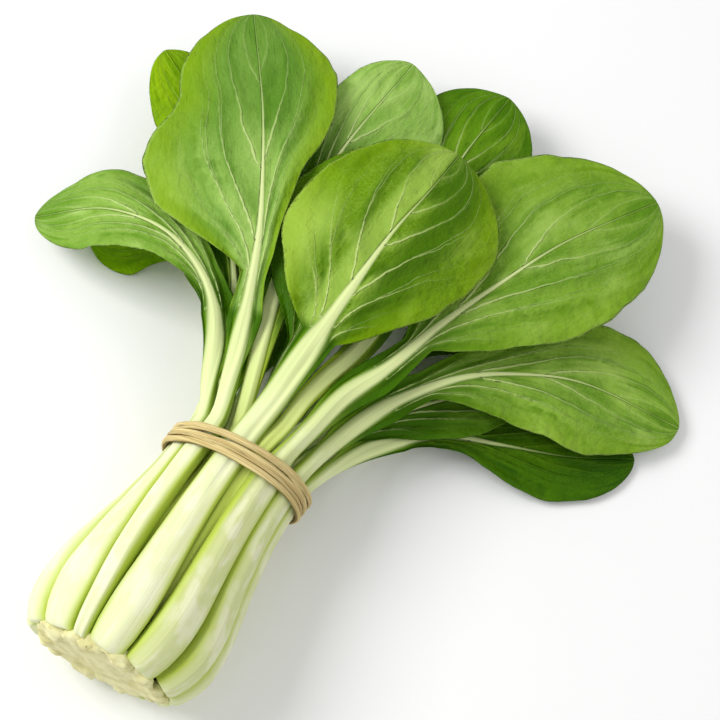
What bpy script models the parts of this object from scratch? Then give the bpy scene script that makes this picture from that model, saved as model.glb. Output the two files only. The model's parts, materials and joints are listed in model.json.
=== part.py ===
"""A head of bok choy lying on its side, held by a raffia tie.

Eighteen leaves grow from one root base. Twelve outer stalks stand side by side
in a ring, five inner ones stand behind them, and a small heart leaf grows in the
middle. Each leaf is one piece, a thick stalk that runs on as the midrib of its
blade. Sizes are in millimetres and are scaled to metres at the end. The head
lies along +Y, root end first, and rests on the plane z = 0.
"""

import math
from typing import NamedTuple

import bmesh
import bpy
from mathutils import Quaternion, Vector

MM = 0.001

# The head as a whole
TIE_Y = 84.0                  # middle of the tie, from the cut root end
AXIS_HEIGHT = 34.6            # the head's own axis above the surface at its belly
AXIS_SAG = 0.02               # how fast that axis comes down towards the tie
RING_FILL = 0.96              # share of its part of the ring that a stalk fills
BELLY_SPREAD = 0.12           # how much wider than high the lying head is below the tie
AXIS_BOW = 1.7                # how far the axis lies to the left at the tie
ROOT_BOW = 0.45               # part of that by which it lies to the left at the root end
ROOT_SLANT = 0.11             # how far the root end is cut askew, for each mm to the right
SLANT_END = 30.0              # distance from the root end at which the slant is gone

# Radius of a ring of stalk centres at distances along the head
OUTER_RING = (
    (-1.5, 24.2), (5, 27.6), (14, 29.4), (24, 29.3), (37, 27.7), (50, 26.2), (66, 24.9), (84, 24.2),
    (94, 24.3),
)
INNER_RING = ((8, 12.5), (14, 16.0), (24, 19.5), (37, 19.6), (50, 18.6), (66, 16.9), (84, 16.2), (94, 16.3))
RISING_RING = (
    (8, 12.5), (14, 16.0), (24, 19.5), (37, 19.6), (50, 19.2), (66, 19.2), (78, 20.4), (88, 21.2),
    (94, 21.8),
)
HEART_RING = ((22, 3.0), (37, 5.0), (60, 5.5), (84, 5.0), (94, 5.0))

# Stalk thickness: (at the base, at the tie, at the neck of the blade)
OUTER_THICK = (9.0, 6.0, 4.4)
INNER_THICK = (6.5, 4.8, 3.8)
HEART_THICK = (3.0, 2.8, 2.0)

# Stalks
OUTER_SHARE = 0.42            # part of the thickness that lies outside the stalk's middle line
STALK_SQUARENESS = 0.75       # 1 gives a round section, less a squarer one
FOOT_LENGTH = 5.0             # length over which the cut end of a stalk closes
FOOT_SIZE = 0.55              # size of the cut end, as part of the full section
NARROWING = 16.0              # length above the tie over which a stalk takes its own width

# The blade
BLADE_THICK = 0.9
RIB_RISE = 0.5                # height of the midrib over its half-width
RIB_TAPER = 2.2               # how fast the midrib narrows towards the tip
RIB_LEAST = 0.4               # half-width of the midrib at the tip
NECK_BLEND = 14.0             # length over which stalk turns into blade
TURNED_BY = 0.12              # part of the blade's length by which it has its own turn
RIPPLE_RATE = 16.0            # turns of the ripple along the margin, in radians
RIPPLE_SHIFT = 1.9            # how far the ripples of the two margins are apart
TIP_STOP = 0.995              # part of the blade's length at which the tip is closed

# The root base
PLATE_RADIUS = 23.5
PLATE_DEPTH = 4.2
CORE_RADIUS = 16.0
PLATE_SIDES = 36

# The tie
CORD_RADIUS = 1.4
CORD_TURNS = 3
CORD_Y = 85.6                 # middle of the winding
CORD_PITCH = 3.15
CORD_STEPS = 24               # points in a turn
CORD_GAP = 1.0                # room between the cord and the stalks' rounded tops
CORD_START = -60.0            # degrees round the head at which the cord starts
TIE_LEAN = 4.0                # how far along the head the tie's right side leans

# Mesh density
STALK_STEPS = 9
BLADE_STEPS = 11
ACROSS = (-1.0, -0.64, -0.26, 0.0, 0.26, 0.64, 1.0)


class Leaf(NamedTuple):
    """One leaf. Left and right are seen with the outer face towards you and the tip up."""

    ring: tuple               # ring profile that its stalk follows below the tie
    thick: tuple              # stalk thickness
    base: tuple               # part of the ring it fills at the root, degrees, 0 at +X and 90 at the top
    tied: tuple               # part of the ring it fills at the tie
    path: tuple               # midrib above the tie, (x, y, z), ending at the tip
    blade: float              # length of the blade along its midrib
    left: tuple               # half-widths at one sixth to five sixths of the blade
    right: tuple
    neck: float = 3.4         # half-width of the stalk where the blade starts
    face: int = 1             # 1 with the outer face up, -1 with the inner face up
    roll: float = 0.0         # degrees turned about the midrib
    cup: float = 6.0          # how far the margins fall back from the middle
    wave: float = 1.4         # height of the ripples along the margin
    phase: float = 0.0


LEAVES = {
    # Outer leaves on the upper side, from the left round to the right
    "outer_leaf_01": Leaf(
        OUTER_RING, OUTER_THICK, (120, 150), (149, 172),
        ((-31, 106, 45), (-40, 122, 46.5), (-56, 137, 46), (-78, 144, 44), (-102, 141, 35),
         (-126, 129, 12)),
        blade=100, left=(5, 10, 14, 17, 15), right=(8, 12, 19, 21, 16),
        neck=3.8, roll=8, cup=4, phase=0.4,
    ),
    "outer_leaf_02": Leaf(
        OUTER_RING, OUTER_THICK, (108, 120), (127, 148),
        ((-25, 109, 53), (-32, 126, 54), (-48, 160, 54), (-61, 182, 52), (-78, 208, 48),
         (-106, 245, 38)),
        blade=137, left=(11, 41, 45, 34, 29), right=(6, 10, 18, 30, 31),
        neck=3.6, cup=6, wave=2.2, phase=1.3,
    ),
    "outer_leaf_03": Leaf(
        OUTER_RING, OUTER_THICK, (81, 108), (92, 115),
        ((-6.6, 108, 58.5), (-7, 122, 60), (-7.4, 137, 61.5), (-8, 170, 63), (-8, 192, 61),
         (-6, 218, 57), (-5, 241, 51)),
        blade=104, left=(26, 37, 38, 35, 28), right=(20, 31, 36, 38, 33),
        neck=5.2, cup=7, wave=1.0, phase=2.2,
    ),
    "outer_leaf_04": Leaf(
        OUTER_RING, OUTER_THICK, (50, 77), (51, 76),
        ((11, 110, 53), (14, 130, 51.5), (20.5, 148, 50), (28, 178, 48), (38, 210, 45), (49, 241, 42),
         (72, 288, 32)),
        blade=156, left=(8, 24, 38, 43, 33), right=(6, 22, 33, 36, 30),
        neck=3.9, cup=5, wave=1.8, phase=0.9,
    ),
    "outer_leaf_05": Leaf(
        OUTER_RING, OUTER_THICK, (19, 44), (25, 49),
        ((21, 115, 42), (29, 140, 39), (47, 171, 34), (65, 189, 29), (88, 205, 23), (134, 222, 7)),
        blade=142, left=(8, 13, 21, 29, 27), right=(6, 17, 24, 28, 21),
        neck=3.7, cup=4, wave=1.8, phase=3.1,
    ),
    "outer_leaf_06": Leaf(
        OUTER_RING, OUTER_THICK, (-6, 19), (-1, 24),
        ((31, 121, 29), (42, 139, 22), (55, 154, 16), (77, 168, 10), (103, 183, 6), (126, 200, 4)),
        blade=106, left=(10, 18, 22, 22, 17), right=(5, 8, 16, 19, 16),
        neck=3.6, cup=1.5, wave=0.8, phase=4.0,
    ),
    # Outer leaves underneath, from the right round to the left
    "outer_leaf_07": Leaf(
        OUTER_RING, OUTER_THICK, (-42, -10), (-34, -2),
        ((23.2, 108, 21.8), (32, 130, 12.5), (47, 156, 6), (66, 184, 3.2), (84, 212, 3.2)),
        blade=78, left=(10, 16, 20, 20, 16), right=(8, 14, 18, 19, 16),
        face=-1, cup=1.2, wave=0.6, phase=5.0,
    ),
    "outer_leaf_08": Leaf(
        OUTER_RING, OUTER_THICK, (-76, -42), (-64, -34),
        ((12.5, 107, 12), (17, 135, 9), (21, 160, 9), (27, 188, 9), (34, 220, 9), (40, 250, 9)),
        blade=78, left=(9, 18, 23, 24, 19), right=(9, 18, 23, 24, 19),
        face=-1, cup=1.2, wave=0.6, phase=0.2,
    ),
    "outer_leaf_09": Leaf(
        OUTER_RING, OUTER_THICK, (-110, -76), (-98, -67),
        ((-2, 108, 8), (-10, 145, 3.6), (-23, 185, 3.2), (-32, 222, 3.2), (-38, 252, 3.2)),
        blade=124, left=(10, 18, 26, 29, 22), right=(10, 18, 26, 29, 22),
        face=-1, cup=1.2, wave=0.6, phase=1.7,
    ),
    "outer_leaf_10": Leaf(
        OUTER_RING, OUTER_THICK, (-143, -110), (-130, -98),
        ((-15, 108, 12), (-23, 142, 9.5), (-44, 180, 8.5), (-65, 208, 8.5), (-82, 232, 8.5)),
        blade=118, left=(11, 20, 27, 28, 21), right=(11, 20, 27, 28, 21),
        face=-1, cup=1.2, wave=0.6, phase=2.9,
    ),
    "outer_leaf_11": Leaf(
        OUTER_RING, OUTER_THICK, (-176, -143), (-160, -130),
        ((-24, 108, 20.6), (-32, 124, 16), (-44, 142, 12.5), (-60, 152, 8), (-80, 154, 3.4),
         (-109, 143, 3.2)),
        blade=44, left=(10, 16, 18, 17, 13), right=(4, 10, 16, 17, 14),
        face=-1, cup=1.2, wave=0.6, phase=3.8,
    ),
    "outer_leaf_12": Leaf(
        OUTER_RING, OUTER_THICK, (-210, -176), (-188, -160),
        ((-28, 105, 32), (-38, 128, 29), (-50, 152, 25), (-66, 176, 21), (-82, 198, 18)),
        blade=100, left=(4, 12, 21, 24, 18), right=(12, 19, 24, 24, 18), cup=2, wave=0.8, phase=5.6,
    ),
    # Inner leaves
    "inner_leaf_01": Leaf(
        INNER_RING, INNER_THICK, (148, 180), (148, 180),
        ((-22, 108, 39), (-44, 143, 38), (-70, 174, 36), (-98, 199, 33), (-126, 213, 29)),
        blade=130, left=(6, 9, 13, 18, 18), right=(8, 11, 14, 18, 18), neck=3.0, cup=2, phase=0.7,
    ),
    "inner_leaf_02": Leaf(
        INNER_RING, INNER_THICK, (114, 147), (115, 133),
        ((-11.8, 98, 48.6), (-14.9, 106, 51.4), (-19.3, 117, 52.4), (-25, 132, 50), (-31, 150, 45),
         (-38, 178, 41), (-44, 214, 39), (-43, 273, 32)),
        blade=104, left=(10, 14, 17, 18, 16), right=(16, 23, 27, 30, 29), neck=3.2, cup=4, phase=1.9,
    ),
    "inner_leaf_03": Leaf(
        INNER_RING, INNER_THICK, (86, 113), (94, 112),
        ((-6, 104, 43.5), (-12, 132, 49), (-15, 168, 53), (-15, 202, 50), (-14, 236, 42)),
        blade=114, left=(9, 27, 36, 35, 27), right=(13, 22, 28, 27, 20),
        neck=3.4, cup=7, wave=1.0, phase=2.4,
    ),
    "inner_leaf_04": Leaf(
        RISING_RING, INNER_THICK, (53, 85), (76.5, 90.5),
        ((2.2, 104, 54.2), (2.4, 111, 54.6), (2.6, 119, 53.8), (4.3, 132, 51), (7, 146, 46.5),
         (8, 164, 41), (3, 200, 35), (-4, 250, 29), (-3, 292, 23)),
        blade=96, left=(13, 22, 27, 26, 22), right=(13, 20, 24, 26, 23), neck=3.2, cup=2.5, phase=3.4,
    ),
    "inner_leaf_05": Leaf(
        INNER_RING, INNER_THICK, (19, 52), (12, 45),
        ((17, 108, 34), (27, 130, 30), (40, 154, 24.5), (57, 176, 19.5), (76, 194, 15)),
        blade=86, left=(7, 10, 12, 13, 10), right=(8, 13, 16, 16, 12),
        neck=3.0, cup=1.5, wave=0.8, phase=4.6,
    ),
    "heart_leaf": Leaf(
        HEART_RING, HEART_THICK, (-30, 90), (-10, 70),
        ((6, 106, 40), (8, 118, 42.5), (9, 127, 43), (9, 137, 43)),
        blade=26, left=(3, 4.5, 5, 4.5, 3.5), right=(3, 4.5, 5, 4.5, 3.5),
        neck=2.0, cup=1, wave=0.3, phase=0.1,
    ),
}


def smoothstep(low, high, value):
    """0 below low, 1 above high and an even curve between them."""
    share = min(1.0, max(0.0, (value - low) / (high - low)))
    return share * share * (3 - 2 * share)


def axis_z(y):
    """Height of the head's axis, which comes down a little towards the leaves."""
    return AXIS_HEIGHT - AXIS_SAG * max(0.0, y - 28.0)


def axis_x(y):
    """How far right the axis lies: a little to the left, most of all at the tie."""
    return -AXIS_BOW * (ROOT_BOW + (1 - ROOT_BOW) * smoothstep(10, TIE_Y, y))


def slanted(place):
    """Moves a place near the root end along the head, because the root is cut askew."""
    shift = ROOT_SLANT * place.x * (1 - smoothstep(0, SLANT_END, place.y))
    return place + Vector((0, shift, 0))


def curve_through(points, steps=24):
    """A smooth line through the points, as a chain of centripetal Catmull-Rom pieces."""
    ends = [points[0] * 2 - points[1], *points, points[-1] * 2 - points[-2]]
    line = []
    for before, start, stop, after in zip(ends, ends[1:], ends[2:], ends[3:]):
        knots = [0.0]
        for a, b in ((before, start), (start, stop), (stop, after)):
            knots.append(knots[-1] + math.sqrt((b - a).length))
        for step in range(steps):
            t = knots[1] + (knots[2] - knots[1]) * step / steps
            near = [
                a.lerp(b, (t - k0) / (k1 - k0))
                for a, b, k0, k1 in zip((before, start, stop), (start, stop, after), knots, knots[1:])
            ]
            middle = [
                near[i].lerp(near[i + 1], (t - knots[i]) / (knots[i + 2] - knots[i])) for i in (0, 1)
            ]
            line.append(middle[0].lerp(middle[1], (t - knots[1]) / (knots[2] - knots[1])))
    return [*line, points[-1].copy()]


class Spine:
    """The line that a leaf grows along, measured by its length."""

    def __init__(self, leaf):
        self.leaf = leaf
        seats = [self.seat(y, radius) for y, radius in leaf.ring]
        self.line = curve_through(seats + [Vector(p) for p in leaf.path])
        self.at = [0.0]
        for a, b in zip(self.line, self.line[1:]):
            self.at.append(self.at[-1] + (b - a).length)
        self.length = self.at[-1]
        self.tied = self.at[min(range(len(self.line)), key=lambda i: abs(self.line[i].y - TIE_Y))]

    def edges(self, y):
        """The part of the ring the stalk fills at y, in degrees."""
        share = smoothstep(0, TIE_Y, y)
        return [b + (t - b) * share for b, t in zip(self.leaf.base, self.leaf.tied)]

    def outward(self, y):
        turn = math.radians(sum(self.edges(y)) / 2)
        return Vector((math.cos(turn), 0, math.sin(turn)))

    def seat(self, y, radius):
        """Where the stalk's middle stands at y, on a ring that is a little wider than high."""
        place = self.outward(y) * radius
        place.x *= 1 + BELLY_SPREAD * (1 - smoothstep(20, TIE_Y, y))
        return slanted(place + Vector((axis_x(y), y, axis_z(y))))

    def point(self, s):
        s = min(max(s, 0.0), self.length)
        i = next((i for i, at in enumerate(self.at) if at > s), len(self.at) - 1)
        share = (s - self.at[i - 1]) / (self.at[i] - self.at[i - 1])
        return self.line[i - 1].lerp(self.line[i], share)

    def direction(self, s):
        reach = 1.5
        return (self.point(s + reach) - self.point(s - reach)).normalized()


def ring_radius(ring, y):
    """Radius of a ring profile at y, straight between its points."""
    for (y0, r0), (y1, r1) in zip(ring, ring[1:]):
        if y <= y1:
            return r0 + (r1 - r0) * max(0.0, (y - y0) / (y1 - y0))
    return ring[-1][1]


def half_width(start, widths, share):
    """Half-width of one side of a blade: smooth through its five widths, with a round tip."""
    squares = [start * start, *(w * w for w in widths), 0.0]
    squares = [2 * squares[0] - squares[1], *squares, -squares[-2]]
    place = min(share, 0.9999) * 6
    i = int(place)
    t = place - i
    a, b, c, d = squares[i:i + 4]
    value = b + 0.5 * t * (c - a + t * (2 * a - 5 * b + 4 * c - d + t * (3 * (b - c) + d - a)))
    return math.sqrt(max(0.0, value))


def stalk_section(leaf, spine, s, neck_s):
    """Half-width, thickness and bend round the head of the stalk at s."""
    y = spine.point(s).y
    low, high = spine.edges(y)
    radius = ring_radius(leaf.ring, y)
    room = math.radians(high - low) / 2 * radius * RING_FILL
    freed = smoothstep(spine.tied - 4, neck_s, s)
    narrowed = smoothstep(spine.tied - 4, spine.tied + NARROWING, s)
    half = room + (leaf.neck - room) * narrowed
    base, tied, neck = leaf.thick
    thick = base + (tied - base) * smoothstep(12, spine.tied, s) + (neck - tied) * freed
    open_share = min(1.0, s / FOOT_LENGTH)
    closing = FOOT_SIZE + (1 - FOOT_SIZE) * math.sqrt(1 - (1 - open_share) ** 2)
    bend = (1 - freed) / (2 * radius)
    return half * closing, thick * closing, bend


def leaf_frame(leaf, spine, s, neck_s):
    """Where the section at s stands: its middle, the direction across it and its outer normal."""
    along = spine.direction(s)
    upright = Vector((0, 0, leaf.face))
    upright -= along * along.dot(upright)
    upright.rotate(Quaternion(along, math.radians(leaf.roll)))
    middle = spine.point(s)
    turned = smoothstep(spine.tied, neck_s + TURNED_BY * leaf.blade, s)
    normal = spine.outward(middle.y).lerp(upright.normalized(), turned)
    normal = (normal - along * normal.dot(along)).normalized()
    return middle, along.cross(normal), normal


def outline(leaf, spine, s):
    """The closed cross-section at s: points over the outer face, then back over the inner."""
    neck_s = spine.length - leaf.blade
    half, thick, bend = stalk_section(leaf, spine, min(s, neck_s), neck_s)
    share = max(0.0, (s - neck_s) / leaf.blade)
    rib = half if s < neck_s else leaf.neck * (1 - share) ** RIB_TAPER + RIB_LEAST
    wide = {
        -1: max(half_width(leaf.neck, leaf.left, share), rib + RIB_LEAST),
        1: max(half_width(leaf.neck, leaf.right, share), rib + RIB_LEAST),
    }
    blend = smoothstep(neck_s - NECK_BLEND, neck_s + NECK_BLEND * 0.6, s)
    full = max(*leaf.left, *leaf.right)
    middle, across, normal = leaf_frame(leaf, spine, s, neck_s)

    def place(v, outer):
        side = -1 if v < 0 else 1
        reach = abs(v)
        round_x = half * math.sin(math.pi / 2 * v)
        swell = max(0.0, math.cos(math.pi / 2 * v)) ** STALK_SQUARENESS
        round_z = thick * (OUTER_SHARE if outer else OUTER_SHARE - 1) * swell
        round_z -= round_x * round_x * bend
        rib_v = ACROSS[4]
        if reach <= rib_v:
            flat_x = side * rib * reach / rib_v
        else:
            flat_x = side * (rib + (wide[side] - rib) * (reach - rib_v) / (1 - rib_v))
        flat_z = 0.0
        if reach < 1:
            flat_z = BLADE_THICK / 2 * (1 if outer else -1)
        if outer:
            flat_z += RIB_RISE * rib * max(0.0, 1 - (flat_x / rib) ** 2)
        flat_z -= leaf.cup * (flat_x / full) ** 2
        ripple = math.sin(RIPPLE_RATE * share + leaf.phase + RIPPLE_SHIFT * side)
        flat_z += leaf.wave * abs(flat_x / full) ** 2.5 * ripple
        x = round_x + (flat_x - round_x) * blend
        z = round_z + (flat_z - round_z) * blend
        return middle + across * x + normal * z

    outer_side = [place(v, True) for v in ACROSS]
    inner_side = [place(v, False) for v in reversed(ACROSS[1:-1])]
    return outer_side + inner_side


def stations(spine, leaf):
    """Distances along the leaf where it gets a cross-section, closer at both its ends."""
    neck_s = spine.length - leaf.blade
    foot = [0.0, 0.3 * FOOT_LENGTH, FOOT_LENGTH]
    stalk = [FOOT_LENGTH + (neck_s - FOOT_LENGTH) * i / STALK_STEPS for i in range(1, STALK_STEPS)]
    blade = [
        neck_s + leaf.blade * TIP_STOP * math.sin(math.pi / 2 * i / BLADE_STEPS)
        for i in range(BLADE_STEPS + 1)
    ]
    return foot + stalk + blade


def material(name, colour, roughness):
    made = bpy.data.materials.new(name)
    made.use_nodes = True
    shader = made.node_tree.nodes["Principled BSDF"]
    shader.inputs["Base Color"].default_value = (*colour, 1)
    shader.inputs["Roughness"].default_value = roughness
    made.diffuse_color = (*colour, 1)
    return made


def add_object(name, bm, finish, head):
    """Turns a bmesh in millimetres into a named object in metres on the head's empty."""
    bmesh.ops.recalc_face_normals(bm, faces=bm.faces)
    bmesh.ops.scale(bm, vec=(MM, MM, MM), verts=bm.verts)
    mesh = bpy.data.meshes.new(name)
    bm.to_mesh(mesh)
    bm.free()
    mesh.shade_smooth()
    mesh.materials.append(finish)
    made = bpy.data.objects.new(name, mesh)
    bpy.context.scene.collection.objects.link(made)
    made.parent = head
    return made


def extruded_loop(bm, loop):
    """Extrudes a closed loop of vertices and returns the new loop in the same order."""
    edges = [bm.edges.get((a, b)) for a, b in zip(loop, loop[1:] + loop[:1])]
    made = bmesh.ops.extrude_edge_only(bm, edges=edges)["geom"]
    fresh = {v for v in made if isinstance(v, bmesh.types.BMVert)}
    return [next(e.other_vert(v) for e in v.link_edges if e.other_vert(v) in fresh) for v in loop]


def add_swept(name, sections, finish, head):
    """A closed body: the first section is a loop that is extruded to each of the others."""
    bm = bmesh.new()
    loop = bmesh.ops.create_circle(bm, segments=len(sections[0]), radius=1, cap_ends=False)["verts"]
    for vert, place in zip(loop, sections[0]):
        vert.co = place
    bmesh.ops.contextual_create(bm, geom=loop)
    for section in sections[1:]:
        loop = extruded_loop(bm, loop)
        for vert, place in zip(loop, section):
            vert.co = place
    bmesh.ops.contextual_create(bm, geom=loop)
    bmesh.ops.triangulate(bm, faces=bm.faces)
    return add_object(name, bm, finish, head)


def make_leaf(name, leaf, finish, head):
    """A leaf in one piece: its stalk is extruded on into a thin blade."""
    spine = Spine(leaf)
    sections = [outline(leaf, spine, s) for s in stations(spine, leaf)]
    return add_swept(name, sections, finish, head)


def make_root_base(finish, head):
    """The cut root base: a lumpy plate with a cone that the stalks stand around."""
    profile = (
        (PLATE_RADIUS - 2.5, -PLATE_DEPTH),
        (PLATE_RADIUS, -PLATE_DEPTH + 1.2),
        (PLATE_RADIUS - 0.6, -2.1),
        (CORE_RADIUS + 3, -1.6),
        (CORE_RADIUS, 0.0),
        (CORE_RADIUS - 6, 3.5),
        (CORE_RADIUS - 10, 9.0),
        (CORE_RADIUS - 13, 14.0),
    )

    def ring_at(radius, y):
        points = []
        for i in range(PLATE_SIDES):
            turn = 2 * math.pi * i / PLATE_SIDES
            lumps = 0.6 * math.sin(5 * turn + 0.4) + 0.4 * math.sin(8 * turn + 2.0)
            r = radius + lumps * max(0.0, radius - CORE_RADIUS) / (PLATE_RADIUS - CORE_RADIUS)
            place = Vector((axis_x(y) + r * math.cos(turn), y, axis_z(y) + r * math.sin(turn)))
            points.append(slanted(place))
        return points

    return add_swept("root_base", [ring_at(radius, y) for radius, y in profile], finish, head)


def make_tie(finish, head):
    """The raffia cord, wound round the stalks side by side."""
    clear = OUTER_THICK[1] * OUTER_SHARE + CORD_RADIUS + CORD_GAP
    steps = CORD_TURNS * CORD_STEPS
    curve = bpy.data.curves.new("raffia_tie", "CURVE")
    curve.dimensions = "3D"
    curve.bevel_depth = CORD_RADIUS * MM
    curve.bevel_resolution = 2
    curve.use_fill_caps = True
    spline = curve.splines.new("POLY")
    spline.points.add(steps)
    for i, point in enumerate(spline.points):
        turn = 2 * math.pi * i / CORD_STEPS + math.radians(CORD_START)
        y = CORD_Y + CORD_PITCH * (i / CORD_STEPS - CORD_TURNS / 2) + TIE_LEAN * math.cos(turn)
        radius = ring_radius(OUTER_RING, y) + clear
        x = radius * math.cos(turn)
        z = radius * math.sin(turn)
        place = Vector((axis_x(TIE_Y) + x, y, axis_z(TIE_Y) + z))
        point.co = (*(place * MM), 1)
    curve.materials.append(finish)
    made = bpy.data.objects.new("raffia_tie", curve)
    bpy.context.scene.collection.objects.link(made)
    made.parent = head
    return made


def rest_on_origin(head, parts):
    """Moves the head so that the middle of its underside is at the origin."""
    bpy.context.view_layer.update()
    graph = bpy.context.evaluated_depsgraph_get()
    corners = []
    for part in parts:
        solid = part.evaluated_get(graph)
        corners += [part.matrix_world @ vert.co for vert in solid.to_mesh().vertices]
        solid.to_mesh_clear()
    low = Vector([min(c[i] for c in corners) for i in range(3)])
    high = Vector([max(c[i] for c in corners) for i in range(3)])
    head.location = (-(low.x + high.x) / 2, -(low.y + high.y) / 2, -low.z)
    bpy.context.view_layer.update()


def main():
    for old in list(bpy.data.objects):
        bpy.data.objects.remove(old)
    head = bpy.data.objects.new("head", None)
    bpy.context.scene.collection.objects.link(head)
    outer = material("outer_leaf", (0.22, 0.42, 0.07), 0.45)
    inner = material("inner_leaf", (0.30, 0.48, 0.12), 0.5)
    root = material("root", (0.62, 0.58, 0.34), 0.8)
    raffia = material("raffia", (0.60, 0.44, 0.22), 0.85)
    parts = [
        make_leaf(name, leaf, outer if leaf.ring is OUTER_RING else inner, head)
        for name, leaf in LEAVES.items()
    ]
    parts.append(make_root_base(root, head))
    parts.append(make_tie(raffia, head))
    rest_on_origin(head, parts)


main()
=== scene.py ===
# %% [markdown]
# # A head of bok choy, lying down and tied with raffia
#
# Broad pale stalks grow side by side from one cut root base. Each stalk is one leaf: it runs on
# above the tie as the midrib of a round green blade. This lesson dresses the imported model, leaf by
# leaf, in the same place and at the same size, with the veins, colours and fibres of the real plant.
#
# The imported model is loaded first.

# %% Load the frame
import json
import math
from typing import NamedTuple

import bmesh
import bpy
from mathutils import Matrix, Quaternion, Vector, noise

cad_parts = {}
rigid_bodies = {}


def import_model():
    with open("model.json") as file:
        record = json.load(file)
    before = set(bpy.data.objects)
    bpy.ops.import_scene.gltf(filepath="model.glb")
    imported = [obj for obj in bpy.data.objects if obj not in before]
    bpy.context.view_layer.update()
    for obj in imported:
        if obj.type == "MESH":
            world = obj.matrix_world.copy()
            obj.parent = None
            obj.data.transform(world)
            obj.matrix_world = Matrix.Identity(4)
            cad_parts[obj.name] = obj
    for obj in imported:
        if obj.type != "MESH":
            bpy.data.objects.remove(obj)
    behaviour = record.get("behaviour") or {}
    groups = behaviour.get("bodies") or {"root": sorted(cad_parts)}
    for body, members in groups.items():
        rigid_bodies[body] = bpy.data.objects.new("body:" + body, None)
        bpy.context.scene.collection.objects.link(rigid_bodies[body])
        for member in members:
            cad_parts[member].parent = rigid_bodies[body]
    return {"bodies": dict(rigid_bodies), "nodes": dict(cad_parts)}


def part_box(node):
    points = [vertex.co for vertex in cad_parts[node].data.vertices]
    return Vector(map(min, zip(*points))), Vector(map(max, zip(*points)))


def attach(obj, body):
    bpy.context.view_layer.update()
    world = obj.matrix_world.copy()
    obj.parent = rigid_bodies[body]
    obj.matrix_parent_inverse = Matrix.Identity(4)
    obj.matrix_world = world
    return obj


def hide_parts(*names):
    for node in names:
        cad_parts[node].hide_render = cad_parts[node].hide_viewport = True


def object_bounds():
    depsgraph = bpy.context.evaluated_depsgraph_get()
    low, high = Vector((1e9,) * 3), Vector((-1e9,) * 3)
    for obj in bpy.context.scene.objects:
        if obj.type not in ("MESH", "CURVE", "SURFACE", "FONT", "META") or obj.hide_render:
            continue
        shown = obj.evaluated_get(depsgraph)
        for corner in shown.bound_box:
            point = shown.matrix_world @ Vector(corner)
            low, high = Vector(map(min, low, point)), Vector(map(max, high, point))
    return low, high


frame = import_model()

cad_low, cad_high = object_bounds()
belonging = {*frame["bodies"].values(), *frame["nodes"].values()}
for leftover in [o for o in bpy.data.objects if o not in belonging]:
    bpy.data.objects.remove(leftover)
print("frame box in mm:", [round((b - a) * 1000, 1) for a, b in zip(cad_low, cad_high)])

# %% [markdown]
# ## Where the head lies
#
# A plant is easiest to describe from its own axis, in millimetres from the cut root end. The root
# base has a box in the frame and a known outline in those millimetres, and comparing the two gives
# the size of one millimetre of the head in the frame and where its axis starts.

# %% The head's own millimetres
TIE_Y = 84.0
AXIS_HEIGHT = 34.6
SAG_START = 28.0              # distance from the root end at which the axis starts to come down
AXIS_SAG = 0.02               # how fast it comes down from there on
AXIS_BOW = 1.7                # how far the axis lies to the left at the tie
ROOT_BOW = 0.45               # part of that by which it lies to the left at the root end
ROOT_SLANT = 0.11             # how far the root end is cut askew, for each mm to the right
SLANT_END = 30.0              # distance from the root end at which the slant is gone


def smoothstep(low, high, value):
    """0 below low, 1 above high and an even curve between them."""
    share = min(1.0, max(0.0, (value - low) / (high - low)))
    return share * share * (3 - 2 * share)


def axis_point(y):
    """A point on the head's axis."""
    x = -AXIS_BOW * (ROOT_BOW + (1 - ROOT_BOW) * smoothstep(10, TIE_Y, y))
    return Vector((x, y, AXIS_HEIGHT - AXIS_SAG * max(0.0, y - SAG_START)))


def slanted(place):
    """Moves a place near the root end along the head, because the root is cut askew."""
    shift = ROOT_SLANT * place.x * (1 - smoothstep(0, SLANT_END, place.y))
    return place + Vector((0, shift, 0))


# %% The root base's outline, and its place in the frame
PLATE_RADIUS = 23.5
PLATE_DEPTH = 4.2
CORE_RADIUS = 16.0
PLATE_SIDES = 36
PLATE_PROFILE = (
    (PLATE_RADIUS - 2.5, -PLATE_DEPTH),
    (PLATE_RADIUS, -PLATE_DEPTH + 1.2),
    (PLATE_RADIUS - 0.6, -2.1),
    (CORE_RADIUS + 3, -1.6),
    (CORE_RADIUS, 0.0),
    (CORE_RADIUS - 6, 3.5),
    (CORE_RADIUS - 10, 9.0),
    (CORE_RADIUS - 13, 14.0),
)


def plate_point(radius, y, turn):
    """A point of the root base's lumpy outline."""
    lumps = 0.6 * math.sin(5 * turn + 0.4) + 0.4 * math.sin(8 * turn + 2.0)
    r = radius + lumps * max(0.0, radius - CORE_RADIUS) / (PLATE_RADIUS - CORE_RADIUS)
    return slanted(axis_point(y) + Vector((r * math.cos(turn), 0, r * math.sin(turn))))


turns = [2 * math.pi * i / PLATE_SIDES for i in range(PLATE_SIDES)]
plate = [plate_point(radius, y, turn) for radius, y in PLATE_PROFILE for turn in turns]
plate_low = Vector([min(p[i] for p in plate) for i in range(3)])
plate_high = Vector([max(p[i] for p in plate) for i in range(3)])
base_low, base_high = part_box("root_base")
UNIT = (base_high.z - base_low.z) / (plate_high.z - plate_low.z)
ORIGIN = base_low - plate_low * UNIT


def in_frame(place):
    """A point in the head's millimetres, as metres in the frame."""
    return place * UNIT + ORIGIN


print("one millimetre of the head:", round(UNIT * 1000, 4), "mm; it starts at", ORIGIN)

# %% [markdown]
# ## The leaves, described
#
# A stalk stands in a ring round the axis, so below the tie it needs only the part of the ring that
# it fills at the root and at the tie. Above the tie the leaves spread, so each has a few points that
# its midrib passes through, and five half-widths for each side of its blade. That is enough for the
# shape of any spoon-shaped leaf, and it keeps neighbours from growing into each other.

# %% What a leaf is
BELLY_SPREAD = 0.12           # how much wider than high the lying head is below the tie
RING_FILL = 1.10              # share of its part of the ring that a stalk fills

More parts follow.
